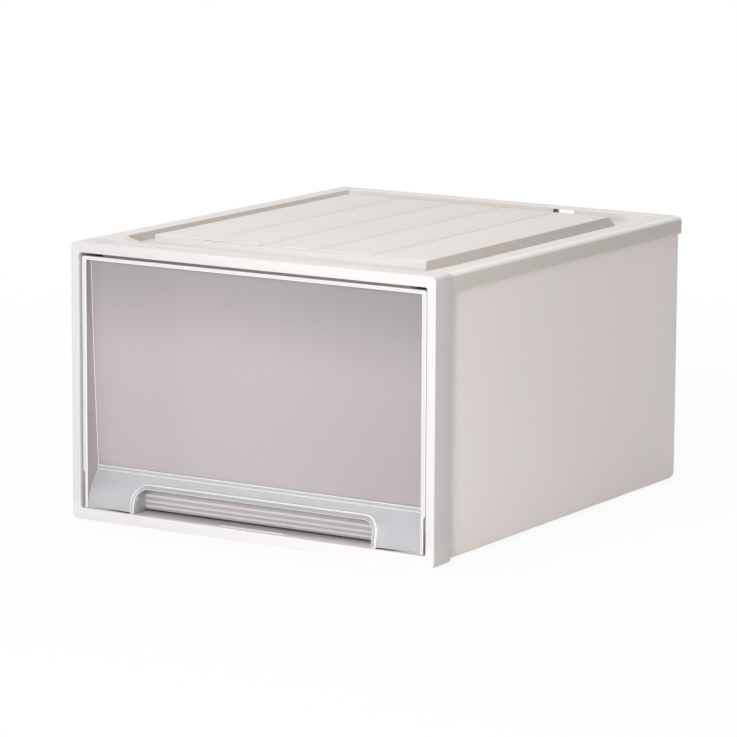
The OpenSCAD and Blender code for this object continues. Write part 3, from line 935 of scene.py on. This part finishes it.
@dataclass
class TopPanel:
    """The lid: rims with a skirt, a channel round the deck and the grooved deck itself."""

    layout: Layout
    wall: float = 0.0024
    skirt: float = 0.0186
    skirt_wall: float = 0.0025
    rear_rim: float = 0.024
    corner: float = 0.010
    edge: float = 0.006
    channel_drop: float = 0.0092
    channel_front: float = 0.063
    channel_width: float = 0.0296
    rear_channel: float = 0.0322
    channel_corner_left: float = 0.006
    channel_corner_right: float = 0.018
    channel_corner_rear: float = 0.005
    slope: float = 0.0154
    deck_edge: float = 0.0011
    strips: int = 5
    groove_width: float = 0.0014
    groove_depth: float = 0.0008
    gate_radius: float = 0.0011
    gate_flatness: float = 0.5
    slot_x: float = 0.0825
    slot_width: float = 0.0264
    slot_height: float = 0.0046
    slot_flare: float = 0.0055
    slot_skin: float = 0.0016
    slot_sink: float = 0.004
    mould_radius: float = 0.0003
    rim_facing: float = 0.4    # a normal's share past which a face is on a rim's top
    side_facing: float = 0.93  # a normal's share past which a face is on a side

    @property
    def rim_half(self) -> float:
        """Inner edge of the side rims."""
        return self.layout.half - RIM_WIDTH

    @property
    def deck_half(self) -> float:
        """Half of the deck's width."""
        return self.rim_half - self.channel_width

    @property
    def rear_rim_y(self) -> float:
        """Inner edge of the rear rim."""
        return self.layout.back - self.rear_rim

    @property
    def channel_z(self) -> float:
        """Floor of the channel."""
        return self.layout.rim_top - self.channel_drop

    def build(self) -> Piece:
        """Model the panel.

        Returns:
            The finished piece.
        """
        piece = self.lid()
        combine(piece, self.channel(), Blend.CUT)
        wedge = shelf_wedge(self.layout, FRAME_DEPTH - OVERRUN, DECK_FRONT + OVERRUN)
        combine(piece, wedge, Blend.CUT)
        combine(piece, self.deck(), Blend.ADD)
        for x in self.groove_places():
            combine(piece, self.groove(x), Blend.CUT)
            combine(piece, self.gate_mark(x), Blend.ADD)
        self.hollow_out(piece)
        self.cut_slot(piece)
        dress(
            piece, "panel_plastic",
            PANEL_PLASTIC, PANEL_RIM_HIGHLIGHT_PLASTIC, PANEL_SIDE_SHADE_PLASTIC, PANEL_GROOVE_SHADE_PLASTIC,
        )
        finish_edges(piece, self.mould_radius)
        # painted highlight on the rims' tops and their outer rounding
        refinish(piece, RIM_HIGHLIGHT_PLACE, self.on_rim)
        # painted shade on the faces to the left and right, the skirt and the deck's side walls
        refinish(piece, SIDE_SHADE_PLACE, lambda centre, normal: abs(normal.x) > self.side_facing)
        # painted shade on the floors of the grooves
        groove_floor = self.layout.deck_top - self.groove_depth
        refinish(piece, GROOVE_SHADE_PLACE, lambda centre, normal: abs(centre.z - groove_floor) < TOUCH)
        return piece

    def on_rim(self, centre: Vector, normal: Vector) -> bool:
        """Say whether a face is on top of a rim or on the rounding outside it."""
        on_rims = abs(centre.x) > self.rim_half or centre.y > self.rear_rim_y
        high = centre.z > self.layout.rim_top - self.edge
        return on_rims and high and normal.z > self.rim_facing

    def lid(self) -> Piece:
        """Round the lid's outside.

        Returns:
            The solid outer form.
        """
        at = self.layout
        front = at.y(FRAME_DEPTH) + FIT_GAP
        low, high = (-at.half, front, at.rim_top - self.skirt), (at.half, at.back, at.rim_top)
        piece = block(low, high, "top_panel_moulding")
        round_edges(piece, runs(Axis.Z, y=at.back), self.corner, steps=8)
        round_edges(piece, loop_but_front(at.rim_top, front), self.edge, steps=7)
        return piece

    def channel(self) -> Piece:
        """Make the cutter for the channel, with a step left in front of the deck.

        Returns:
            The cutter.
        """
        at, front = self.layout, self.layout.y(self.channel_front)
        ceiling = at.rim_top + OVERRUN
        half, back = self.rim_half, self.rear_rim_y
        cutter = block((-half, front, self.channel_z), (half, back, ceiling))
        corners = (
            (-half, front, self.channel_corner_left), (half, front, self.channel_corner_right),
            (-half, back, self.channel_corner_rear), (half, back, self.channel_corner_rear),
        )
        for x, y, radius in corners:
            round_edges(cutter, runs(Axis.Z, x=x, y=y), radius, steps=6)
        cut_box(
            cutter, (-self.deck_half, front - OVERRUN, self.channel_z - OVERRUN),
            (self.deck_half, at.y(DECK_FRONT), ceiling + OVERRUN),
        )
        return cutter

    def deck(self) -> Piece:
        """Raise the deck, with its sloping rear end and its soft edges.

        Returns:
            The deck as a closed shape.
        """
        at, top = self.layout, self.layout.deck_top
        front, foot = at.y(DECK_FRONT), self.rear_rim_y - self.rear_channel
        low = self.channel_z - self.wall
        piece = block((-self.deck_half, front, low), (self.deck_half, foot, top))
        split_level(piece, self.channel_z)
        pick_edges(piece, runs(Axis.X, y=foot, z=top))
        shift((0, -self.slope, 0))
        round_edges(piece, lies_in(Axis.Z, top), self.deck_edge, steps=3)
        return piece

    def groove_places(self) -> list[float]:
        """Give the x of each groove between two strips of the deck."""
        pitch = 2 * self.deck_half / self.strips
        return [-self.deck_half + i * pitch for i in range(1, self.strips)]

    def groove(self, x: float) -> Piece:
        """Make the cutter of the groove at a place."""
        top, half = self.layout.deck_top, self.groove_width / 2
        front = self.layout.y(DECK_FRONT) - OVERRUN
        back = self.rear_rim_y - self.rear_channel
        return block((x - half, front, top - self.groove_depth), (x + half, back, top + OVERRUN))

    def gate_mark(self, x: float) -> Piece:
        """Make the small pip at the foot of the deck's front wall, in line with a groove.

        Args:
            x: The groove's place.

        Returns:
            The pip, half sunk in the shelf.
        """
        at = self.layout
        bpy.ops.object.select_all(action="DESELECT")
        bpy.ops.mesh.primitive_uv_sphere_add(
            segments=12, ring_count=8, radius=self.gate_radius,
            location=(x, at.y(DECK_FRONT) - 2 * self.gate_radius, at.shelf_z(DECK_FRONT)),
            scale=(1, 1, self.gate_flatness),
        )
        bpy.ops.object.transform_apply(location=True, rotation=True, scale=True)
        return bpy.context.active_object

    def hollow_out(self, piece: Piece) -> None:
        """Cut the panel's underside so that walls are left.

        Args:
            piece: The panel.
        """
        at, inner = self.layout, self.layout.half - self.skirt_wall
        front = at.y(FRAME_DEPTH) - OVERRUN
        back = at.back - self.skirt_wall
        bottom = at.rim_top - self.skirt - OVERRUN
        under_rim, under_channel = at.rim_top - self.wall, self.channel_z - self.wall
        tray_half, tray_back = self.rim_half + self.wall, self.rear_rim_y + self.wall
        cut_box(piece, (-inner, front, bottom), (inner, back, under_channel))
        bottom -= OVERRUN
        cut_box(piece, (tray_half, front, bottom), (inner, back, under_rim), both_sides=True)
        tray_half += ROOT
        cut_box(piece, (-tray_half, tray_back, bottom), (tray_half, back, under_rim))
        half, deck_front = self.deck_half - self.wall, at.y(DECK_FRONT)
        deck_back = self.rear_rim_y - self.rear_channel - self.slope
        cut_box(
            piece, (-half, deck_front + self.wall, bottom),
            (half, deck_back - self.wall, at.deck_top - self.wall),
        )
        under_shelf = at.shelf_z(DECK_FRONT) - self.wall
        cut_box(piece, (-half, front, bottom), (half, deck_front, under_shelf))

    def cut_slot(self, piece: Piece) -> None:
        """Cut the slot through the rear rim, with its wider mouth at the back.

        Args:
            piece: The panel.
        """
        left, right = self.slot_x - self.slot_width / 2, self.slot_x + self.slot_width / 2
        high = self.layout.rim_top - self.slot_skin
        low = high - self.slot_height
        inside, wall_back = self.rear_rim_y - OVERRUN, self.rear_rim_y + self.wall
        cut_box(piece, (left, inside, low), (right, wall_back + ROOT, high))
        left, low = left - self.slot_flare, low - self.slot_sink
        cut_box(piece, (left, wall_back, low), (right, self.layout.back + OVERRUN, high))


@dataclass
class BodyShell:
    """The sides, back and floor of the case in one milky moulding."""

    layout: Layout
    panel: TopPanel
    inset: float = 0.0028
    wall: float = 0.0022
    rear_corner: float = 0.010
    heel: float = 0.012
    edge: float = 0.004
    tongue: float = 0.012
    runner_width: float = 0.008
    runner_in: float = 0.026
    runner_top: float = 0.0117
    foot_width: float = 0.022
    foot_length: float = 0.040
    foot_corner: float = 0.004
    foot_back: float = 0.028
    foot_gap: float = 0.0011
    frame_wall: float = 0.0022
    mould_radius: float = 0.0005

    @property
    def half(self) -> float:
        """Half of the shell's width."""
        return self.layout.half - self.inset

    @property
    def back(self) -> float:
        """Outside of the shell's back."""
        return self.layout.back - self.inset

    def build(self) -> Piece:
        """Model the shell.

        Returns:
            The finished piece.
        """
        at = self.layout
        piece = self.form(0)
        piece.name = "body_shell_moulding"
        combine(piece, self.form(self.wall), Blend.CUT)
        shape_both_sides(piece, self.runner(), Blend.ADD)
        shape_both_sides(piece, self.foot(), Blend.ADD)
        wide, lid_front = at.half + OVERRUN, at.y(FRAME_DEPTH) + FIT_GAP
        under_frame = at.shelf_z(FRAME_DEPTH) - self.frame_wall - FIT_GAP
        low = (-wide, at.front - OVERRUN, under_frame)
        cut_box(piece, low, (wide, lid_front, at.deck_top + OVERRUN))
        combine(piece, self.slot_room(), Blend.CUT)
        dress(piece, "shell_plastic", SHELL_PLASTIC)
        finish_edges(piece, self.mould_radius)
        return piece

    def form(self, shrink: float) -> Piece:
        """Make the shell's outer form, or with a shrink what it holds.

        Args:
            shrink: How far inside the outer form it lies.

        Returns:
            A closed shape, open to no side.
        """
        at, low = self.layout, self.inset + shrink
        half, back = self.half - shrink, self.back - shrink
        spare = OVERRUN if shrink else 0
        front = at.y(FRAME_DEPTH - self.tongue) - spare
        top = at.rim_top - self.panel.wall - FIT_GAP + spare
        piece = block((-half, front, low), (half, back, top))
        heel, corner = self.heel - shrink, self.rear_corner - shrink
        edge = max(self.edge - shrink, ROOT)
        round_edges(piece, runs(Axis.X, y=back, z=low), heel, steps=8)

        def radius_at(middle: Vector) -> float:
            """Grade the side edges from the floor's radius to the rear corner's."""
            if abs(abs(middle.x) - half) > TOUCH:
                return 0
            if middle.z < low + TOUCH:
                return edge
            if abs(middle.y - back) < TOUCH:
                return corner
            on_heel = middle.y > back - heel and middle.z < low + heel
            share = min(1.0, (middle.z - low) / heel)
            return edge + (corner - edge) * share if on_heel else 0

        round_graded(piece, radius_at, steps=6)
        return piece

    def runner(self) -> Piece:
        """Make the right runner rib on the floor."""
        middle = self.half - self.wall - self.runner_in
        low = self.inset + self.wall - ROOT
        return block(
            (middle - self.runner_width / 2, self.layout.y(FRAME_DEPTH) + FIT_GAP, low),
            (middle + self.runner_width / 2, self.back - self.heel, self.runner_top),
        )

    def foot(self) -> Piece:
        """Make the right rear foot, which stands beside the deck of a box below."""
        left, back = self.panel.deck_half + self.foot_gap, self.back - self.foot_back
        piece = block(
            (left, back - self.foot_length, 0),
            (left + self.foot_width, back, self.inset + ROOT),
        )
        round_edges(piece, runs(Axis.Z), self.foot_corner, steps=5)
        return piece

    def slot_room(self) -> Piece:
        """Make the cutter that leaves room behind the panel's rear slot."""
        panel = self.panel
        left = panel.slot_x - panel.slot_width / 2 - panel.slot_flare
        low = self.layout.rim_top - panel.slot_skin - panel.slot_height - panel.slot_sink - FIT_GAP
        return block(
            (left, self.back - self.rear_corner, low),
            (panel.slot_x + panel.slot_width / 2, self.back + OVERRUN, low + self.layout.rim_top),
        )


# ---- Drawer ----


@dataclass
class DrawerTub:
    """The translucent tub, whose front follows the window."""

    layout: Layout
    curve: WindowCurve
    half: float
    low: Vector
    high: Vector
    wall: float = 0.002
    flange: float = 0.0022
    rear_corner: float = 0.015
    edge: float = 0.010
    behind_window: float = 0.0025
    cap_back: float = 0.034
    cap_half: float = 0.206
    runner_x: float = 0.189
    skid_width: float = 0.005
    lug_thick: float = 0.004
    lug_depth: float = 0.4523
    lug_height: float = 0.006
    lug_top: float = 0.2547
    mould_radius: float = 0.0005
    corner_facing: float = 0.6                       # a normal's share in a corner's middle
    fold_facing: tuple[float, float] = (0.25, 0.97)  # its shares between floor and wall

    def build(self) -> Piece:
        """Model the tub.

        Returns:
            The finished piece.
        """
        piece = self.form(0)
        piece.name = "drawer_tub_moulding"
        combine(piece, self.flange_plate(), Blend.ADD)
        combine(piece, self.form(self.wall), Blend.CUT)
        shape_both_sides(piece, self.skid(), Blend.ADD)
        shape_both_sides(piece, self.lug(), Blend.ADD)
        dress(piece, "tub_plastic", TUB_PLASTIC, TUB_FRONT_PLASTIC, TUB_FOLD_SHADE_PLASTIC)
        finish_edges(piece, self.mould_radius)
        behind_recess = self.layout.y(self.cap_back)
        rear = self.high.y - self.rear_corner - self.wall
        fold = self.curve.foot + self.edge

        def on_rear_corner(centre: Vector, normal: Vector) -> bool:
            """Say whether a face is in the middle of an upright rear corner."""
            return centre.y > rear and min(abs(normal.x), abs(normal.y)) > self.corner_facing

        def on_fold(centre: Vector, normal: Vector) -> bool:
            """Say whether a face is in the rounding between the floor and a wall."""
            least, most = self.fold_facing
            return self.curve.foot < centre.z < fold and least < abs(normal.z) < most

        # the middles of the upright rear corners take a painted highlight down each corner
        refinish(piece, EDGE_HIGHLIGHT_PLACE, on_rear_corner)
        # the rounding between floor and walls takes a painted shade
        refinish(piece, FOLD_SHADE_PLACE, on_fold)
        refinish(
            piece, CLEAR_PLACE,
            lambda centre, normal: centre.y < behind_recess and abs(normal.y) > SQUARE,
        )
        return piece

    def form(self, shrink: float) -> Piece:
        """Make the tub's outer form, or with a shrink what it holds.

        Args:
            shrink: How far inside the outer form it lies.

        Returns:
            A closed shape whose front leans with the window.
        """
        half, back = self.half - shrink, self.high.y - self.wall - shrink
        low, top = self.curve.foot + shrink, self.high.z + (OVERRUN if shrink else 0)
        front = self.curve.y(low) + self.behind_window + shrink
        piece = block((-half, front, low), (half, back, top))
        round_edges(piece, runs(Axis.Z, y=back), self.rear_corner - shrink, steps=8)
        round_edges(piece, loop_but_front(low, front), self.edge - shrink, steps=6)
        heights = self.curve.heights(low + self.edge, top)
        for height in heights[:-1]:
            split_level(piece, height)
        for vertex in piece.data.vertices:
            if abs(vertex.co.y - front) < TOUCH:
                vertex.co.y = self.curve.y(vertex.co.z) + self.behind_window + shrink
        return piece

    def flange_plate(self) -> Piece:
        """Make the flange round the tub's top, before the tub is hollowed."""
        half, back, top = self.cap_half, self.high.y, self.high.z
        front = self.layout.y(self.cap_back) + FIT_GAP
        plate = block((-half, front, top - self.flange), (half, back, top))
        round_edges(plate, runs(Axis.Z, y=back), self.rear_corner + self.wall, steps=8)
        return plate

    def skid(self) -> Piece:
        """Make the right skid under the tub."""
        front = self.curve.y(self.curve.foot) + self.behind_window + self.wall
        back, reach = self.high.y - self.wall - self.edge, self.skid_width / 2
        return block(
            (self.runner_x - reach, front, self.low.z),
            (self.runner_x + reach, back, self.curve.foot + ROOT),
        )

    def lug(self) -> Piece:
        """Make the right stop lug."""
        front = self.layout.y(self.lug_depth)
        return block(
            (self.half - ROOT, front, self.lug_top - self.lug_height),
            (self.high.x, front + self.lug_thick, self.lug_top),
        )


@dataclass
class ClearFront:
    """The clear front: a bright rim, walls that reach back and the leaning window."""

    layout: Layout
    opening: Opening
    curve: WindowCurve
    setback: float = 0.002
    rim_gap: float = 0.0023
    rim_top_gap: float = 0.0037
    wall: float = 0.002
    rim_lap: float = 0.001
    lap_back: float = 0.0034
    window_thick: float = 0.0022
    cap_back: float = 0.034
    step_height: float = 0.038
    ribs: tuple[float, ...] = (0.0165, 0.0215, 0.0275)
    rib_height: float = 0.0024
    rib_depth: float = 0.00025
    mould_radius: float = 0.0006

    @property
    def half(self) -> float:
        """Half of the width over the recess's walls."""
        return self.opening.lip_half - RUN_GAP

    @property
    def top(self) -> float:
        """Upper face of the recess's walls."""
        return self.opening.lip_top - RUN_GAP

    @property
    def foot(self) -> float:
        """Lowest edge of the front."""
        return self.opening.sill + RUN_GAP

    def build(self) -> Piece:
        """Model the front.

        Returns:
            The finished piece.
        """
        at = self.layout
        rim_back = at.y(self.opening.lip_depth) - FIT_GAP
        piece = self.rim(rim_back)
        lap_back, back = at.y(self.lap_back), at.y(self.cap_back)
        walls = block((-self.half, rim_back - ROOT, self.foot), (self.half, back, self.top))
        combine(piece, walls, Blend.ADD)
        self.cut_recess(piece, at.front - OVERRUN, lap_back + ROOT, self.rim_lap)
        self.cut_recess(piece, lap_back, back + OVERRUN, 0)
        inner = self.half - self.wall
        ceiling = self.top - self.wall
        heights = self.curve.heights(self.curve.foot, ceiling + ROOT)
        window = rising_wall(inner + ROOT, self.window_thick, heights, self.curve.y)
        combine(piece, window, Blend.ADD)
        dress(piece, "clear_plastic", RIM_PLASTIC, WINDOW_PLASTIC, RIB_HIGHLIGHT_PLASTIC)
        finish_edges(piece, self.mould_radius)

        def see_through(centre: Vector, normal: Vector) -> bool:
            """Say whether a face belongs to the window or to the recess's side walls."""
            window = abs(centre.x) < inner - ROOT and abs(normal.y) > SQUARE
            inside = centre.y > rim_back + TOUCH and centre.z < ceiling - ROOT
            return inside and (window or abs(normal.x) > SQUARE)

        refinish(piece, CLEAR_PLACE, see_through)
        for low in self.ribs:
            combine(piece, self.rib(inner - ROOT, low), Blend.ADD)
        skin = self.rib_depth / 2

        def on_rib(centre: Vector, normal: Vector) -> bool:
            """Say whether a face is on one of the thin ribs at the window's foot."""
            low = centre.z < 2 * self.step_height and centre.y > rim_back
            return low and abs(centre.x) < inner - ROOT and self.curve.y(centre.z) - centre.y > skin

        # the ribs take a painted highlight
        refinish(piece, RIB_HIGHLIGHT_PLACE, on_rib)
        return piece

    def rib(self, half: float, low: float) -> Piece:
        """Make one of the thin level ribs across the window's foot.

        Args:
            half: Half of the rib's width.
            low: The height of its lower edge.

        Returns:
            The rib, rooted in the window.
        """
        return rising_wall(
            half, self.rib_depth + ROOT, (low, low + self.rib_height),
            lambda z: self.curve.y(z) - self.rib_depth,
        )

    def rim(self, back: float) -> Piece:
        """Make the rim before it is hollowed, with its narrower foot.

        Args:
            back: The y of the rim's rear face.

        Returns:
            The rim's closed form.
        """
        front = self.layout.y(self.setback)
        wide, high = self.opening.half - self.rim_gap, self.opening.top - self.rim_top_gap
        step = self.opening.sill + self.step_height
        piece = block((-wide, front, step), (wide, back, high), "drawer_front_moulding")
        round_edges(piece, runs(Axis.Y, z=high), self.opening.corner, steps=5)
        pick_edges(piece, lies_in(Axis.Z, step))
        narrow(self.half / wide)
        split_level(piece, step + wide - self.half)
        for vertex in piece.data.vertices:
            if step + TOUCH < vertex.co.z < step + (wide - self.half) + TOUCH:
                vertex.co.x = math.copysign(wide, vertex.co.x)
        foot = block((-self.half, front, self.foot), (self.half, back, step + ROOT))
        return combine(piece, foot, Blend.ADD)

    def cut_recess(self, piece: Piece, front: float, back: float, lap: float) -> None:
        """Cut a stretch of the recess, which is open at its foot.

        Args:
            piece: The front.
            front: The y at which it starts.
            back: The y at which it ends.
            lap: How far it stays clear of the side walls.
        """
        inner = self.half - self.wall - lap
        low, high = (-inner, front, self.foot - OVERRUN), (inner, back, self.top - self.wall)
        cut_box(piece, low, high)


@dataclass
class Handle:
    """The frosted handle: its scooped skin, cut-out with a lip, bead and pocket walls."""

    layout: Layout
    opening: Opening
    curve: WindowCurve
    half: float
    depth: float = 0.0037
    height: float = 0.0435
    scoop_foot: float = 0.002
    scoop_radius: float = 0.041
    scoop_angle: float = math.radians(36)
    skin: float = 0.0022
    bead: float = 0.0035
    bead_line: float = 0.0017
    grip_half: float = 0.145
    grip_height: float = 0.026
    grip_corner: float = 0.013
    lip_width: float = 0.0045
    lip_out: float = 0.0012
    lip_in: float = 0.004
    rib: float = 0.002
    spin_steps: int = 10
    reach: float = 0.7         # how far a deep band reaches in, in radii of the scoop
    beyond: float = 3.0        # how far a cutter runs on, in heights of the handle
    mould_radius: float = 0.0006

    @property
    def foot(self) -> float:
        """Lowest edge of the handle."""
        return self.opening.sill + RUN_GAP

    @property
    def top(self) -> float:
        """Upper edge of the bead."""
        return self.opening.sill + self.height

    @property
    def bead_foot(self) -> float:
        """Height at which the skin ends and the bead starts."""
        return self.top - self.bead

    def build(self) -> Piece:
        """Model the handle.

        Returns:
            The finished piece.
        """
        piece = self.up_to_bead(self.band(0, self.deep))
        piece.name = "drawer_handle_moulding"
        outside, inside = self.half - self.rib, self.grip_half + self.rib
        middle = (-self.grip_half, self.grip_half)
        for left, right in ((-outside, -inside), middle, (inside, outside)):
            combine(piece, self.pocket(left, right), Blend.CUT)
        lip = self.up_to_bead(self.band(self.lip_out, self.lip_in, self.foot + LIP_RISE))
        combine(piece, combine(lip, self.grip(self.lip_width), Blend.KEEP), Blend.ADD)
        combine(piece, self.grip(0), Blend.CUT)
        combine(piece, self.bead_bar(), Blend.ADD)
        combine(piece, self.behind_window(), Blend.CUT)
        dress(piece, "handle_plastic", HANDLE_PLASTIC)
        finish_edges(piece, self.mould_radius)
        # the top of the bead takes a painted highlight along it
        refinish(piece, EDGE_HIGHLIGHT_PLACE, lambda centre, normal: centre.z > self.top - self.bead_line)
        return piece

    @property
    def deep(self) -> float:
        """How far a band reaches in that is cut off by the window."""
        return self.scoop_radius * self.reach

    def band(self, out: float, inward: float, foot: float | None = None) -> Piece:
        """Spin the handle's skin between two distances from its face.

        Args:
            out: How far it stands out of the face.
            inward: How far it reaches in behind the face.
            foot: Its lowest edge, which is the handle's when it isn't given.

        Returns:
            The skin, which runs on past the handle's top and through the window.
        """
        face, start = self.layout.y(self.depth), self.opening.sill + self.scoop_foot
        low = self.foot if foot is None else foot
        piece = block((-self.half, face - out, low), (self.half, face + inward, start))
        pick_faces(piece, faces_up)
        bpy.ops.mesh.spin(
            steps=self.spin_steps, angle=self.scoop_angle, dupli=False, use_auto_merge=False,
            center=(0, face + self.scoop_radius, start), axis=(1, 0, 0),
        )
        rise_y, rise_z = math.sin(self.scoop_angle), math.cos(self.scoop_angle)
        draw_out((0, self.height * rise_y, self.height * rise_z))
        bpy.ops.mesh.select_all(action="SELECT")
        bpy.ops.mesh.remove_doubles(threshold=TOUCH)
        bpy.ops.mesh.normals_make_consistent(inside=False)
        close_edit()
        return piece

    def up_to_bead(self, piece: Piece) -> Piece:
        """Cut a band off at the bead's foot.

        Args:
            piece: The band.

        Returns:
            The shorter band.
        """
        wide, at = self.half + OVERRUN, self.layout
        far = self.beyond * self.height
        cut_box(piece, (-wide, at.front, self.bead_foot), (wide, at.y(far), far + self.height))
        return piece

    def pocket(self, left: float, right: float) -> Piece:
        """Make the cutter of the space behind the skin between two walls.

        Args:
            left: The x of its left side.
            right: The x of its right side.

        Returns:
            The cutter, open at its foot.
        """
        room = self.band(-self.skin, self.deep + OVERRUN, self.foot - OVERRUN)
        at, far = self.layout, self.beyond * self.height
        slab = block((left, at.front, 0), (right, at.y(far), far))
        return combine(room, slab, Blend.KEEP)

    def behind_window(self) -> Piece:
        """Make the cutter that holds the window's place and all that lies behind it."""
        heights = self.curve.heights(self.foot - OVERRUN, self.top + OVERRUN)
        return rising_wall(
            self.half + OVERRUN, 2 * self.height, heights, lambda z: self.curve.y(z) - FIT_GAP
        )

    def grip(self, grow: float) -> Piece:
        """Make the cutter of the finger cut-out.

        Args:
            grow: How far it is grown by a lip.

        Returns:
            The cutter, with round upper corners.
        """
        half, high = self.grip_half + grow, self.opening.sill + self.grip_height + grow
        low, front = self.foot - OVERRUN, self.layout.front - OVERRUN
        piece = block((-half, front, low), (half, self.layout.y(self.height), high))
        round_edges(piece, runs(Axis.Y, z=high), self.grip_corner + grow, steps=8)
        return piece

    def bead_bar(self) -> Piece:
        """Make the bead along the handle's upper edge, before the window's side is cut."""
        heights = (self.bead_foot - ROOT, self.top - self.bead_line, self.top)
        return rising_wall(
            self.half, 2 * self.skin, heights, lambda z: self.curve.y(z) - FIT_GAP - self.skin
        )


# ---- Stage, light and camera ----


@dataclass(frozen=True)
class Viewpoint:
    """Where the photograph was taken from, fitted to the box's edges."""

    yaw: float = math.radians(31.90)
    pitch: float = math.radians(10.19)
    roll: float = math.radians(0.29)
    distance: float = 3.952
    target_x: float = 0.14289
    target_z: float = 0.19466
    focal_px: float = 3989.6
    image_px: float = 737.0
    clip_end: float = 100.0

    def place(self, layout: Layout) -> None:
        """Make the camera and set it as the scene's.

        Args:
            layout: The case's outer faces.
        """
        right = Vector((math.cos(self.yaw), math.sin(self.yaw), 0))
        back = Vector((math.sin(self.yaw), -math.cos(self.yaw), 0))
        out = math.cos(self.pitch) * back + Vector((0, 0, math.sin(self.pitch)))
        up = right.cross(-out)
        cos_roll, sin_roll = math.cos(self.roll), math.sin(self.roll)
        turned = (cos_roll * right + sin_roll * up, cos_roll * up - sin_roll * right, out)
        target = Vector((self.target_x, layout.front, self.target_z))
        data = bpy.data.cameras.new("photo_camera")
        data.lens = self.focal_px / self.image_px * data.sensor_width
        data.clip_end = self.clip_end
        camera = bpy.data.objects.new("photo_camera", data)
        bpy.context.scene.collection.objects.link(camera)
        turn = Matrix(turned).transposed().to_4x4()
        camera.matrix_world = Matrix.Translation(target + out * self.distance) @ turn
        bpy.context.scene.camera = camera


@dataclass(frozen=True)
class Lamp:
    """A soft square lamp that looks at the box."""

    name: str
    place: tuple[float, float, float]
    size: float
    power: float
    mirrored: bool = True
    aim: Point = (0, 0, 0.15)

    def hang(self) -> None:
        """Make the lamp and turn it to the middle of the box."""
        data = bpy.data.lights.new(self.name, "AREA")
        data.shape = "SQUARE"
        data.size = self.size
        data.energy = self.power
        lamp = bpy.data.objects.new(self.name, data)
        bpy.context.scene.collection.objects.link(lamp)
        lamp.location = self.place
        lamp.visible_glossy = lamp.visible_transmission = self.mirrored
        out = Vector(self.aim) - Vector(self.place)
        lamp.rotation_euler = out.to_track_quat("-Z", "Y").to_euler()


@dataclass(frozen=True)
class Studio:
    """A white floor, a white surround and soft lamps."""

    world_light: float = 0.33
    warm_side: tuple[float, float, float] = (1.0, 0.945, 0.905)
    floor_size: float = 60.0
    floor_grey: float = 0.86
    glow_near: float = 0.91
    glow_far: float = 1.0
    near_reach: float = 0.45
    far_reach: float = 1.6
    lamps: tuple[Lamp, ...] = (
        Lamp("top_softbox", (-0.3, 0.1, 2.4), 2.0, 31.5),
        Lamp("front_softbox", (0.5, -2.4, 0.8), 0.8, 38, mirrored=False),
        Lamp("right_softbox", (1.7, -0.2, 2.0), 1.0, 1),
    )

    def build(self) -> None:
        """Make the floor, the world and the lamps."""
        bpy.context.scene.view_settings.view_transform = "Standard"
        self.make_floor()
        self.make_world()
        for lamp in self.lamps:
            lamp.hang()

    def make_floor(self) -> None:
        """Make the floor, which the camera sees white and which keeps a soft shadow."""
        bpy.ops.object.select_all(action="DESELECT")
        bpy.ops.mesh.primitive_plane_add(size=self.floor_size, location=(0, 0, 0))
        floor = bpy.context.active_object
        floor.name = "studio_floor"
        material = bpy.data.materials.new("studio_floor_white")
        wiring = Wiring.of(material)
        cloth = wiring.add("BsdfDiffuse", {"Color": (*[self.floor_grey] * 3, 1)}).outputs["BSDF"]
        glow = wiring.add("Emission", {"Strength": 1}).outputs["Emission"]
        place = wiring.add("TexCoord").outputs["Object"]
        reach = wiring.add("VectorMath", {0: place}, operation="LENGTH").outputs["Value"]
        whiter = wiring.ramp(
            reach, self.near_reach, self.far_reach, self.glow_near, self.glow_far
        )
        shares: Feeds = {0: wiring.seen_directly(), 1: whiter}
        share = wiring.add("Math", shares, operation="MULTIPLY").outputs["Value"]
        wiring.end("OutputMaterial", share, cloth, glow)
        floor.data.materials.append(material)

    def make_world(self) -> None:
        """Make the surround, which looks white and lights softly, warmer from the right."""
        world = bpy.data.worlds.new("studio_white")
        bpy.context.scene.world = world
        wiring = Wiring.of(world)
        right = wiring.along(wiring.add("TexCoord").outputs["Generated"], Axis.X)
        tint = wiring.tint((1, 1, 1), self.warm_side, right)
        light = wiring.add("Background", {"Color": tint, "Strength": self.world_light})
        look = wiring.add("Background", {"Color": (1, 1, 1, 1)})
        ends = light.outputs["Background"], look.outputs["Background"]
        wiring.end("OutputWorld", wiring.seen_directly(), *ends)


def main() -> None:
    """Build the stage, the case and the drawer."""
    logging.basicConfig(level=logging.INFO, format="%(name)s: %(message)s")
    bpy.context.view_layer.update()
    layout = Layout.from_frame()
    opening = Opening(layout)
    Viewpoint().place(layout)
    Studio().build()

    settle(FrontFrame(layout, opening).build(), "front_frame", "case")
    panel = TopPanel(layout)
    settle(panel.build(), "top_panel", "case")
    settle(BodyShell(layout, panel).build(), "body_shell", "case")

    wall = ClearFront.wall
    ceiling = opening.lip_top - RUN_GAP - wall
    inner_half = opening.lip_half - RUN_GAP - wall
    tub_foot = opening.sill + ClearFront.setback
    curve = WindowCurve(layout, ceiling, tub_foot)
    tub = DrawerTub(layout, curve, inner_half - wall, *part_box("drawer_tub"))
    settle(tub.build(), "drawer_tub", "drawer")
    settle(ClearFront(layout, opening, curve).build(), "drawer_front", "drawer")
    settle(Handle(layout, opening, curve, inner_half - FIT_GAP).build(), "drawer_handle", "drawer")


if __name__ == "__main__":
    main()
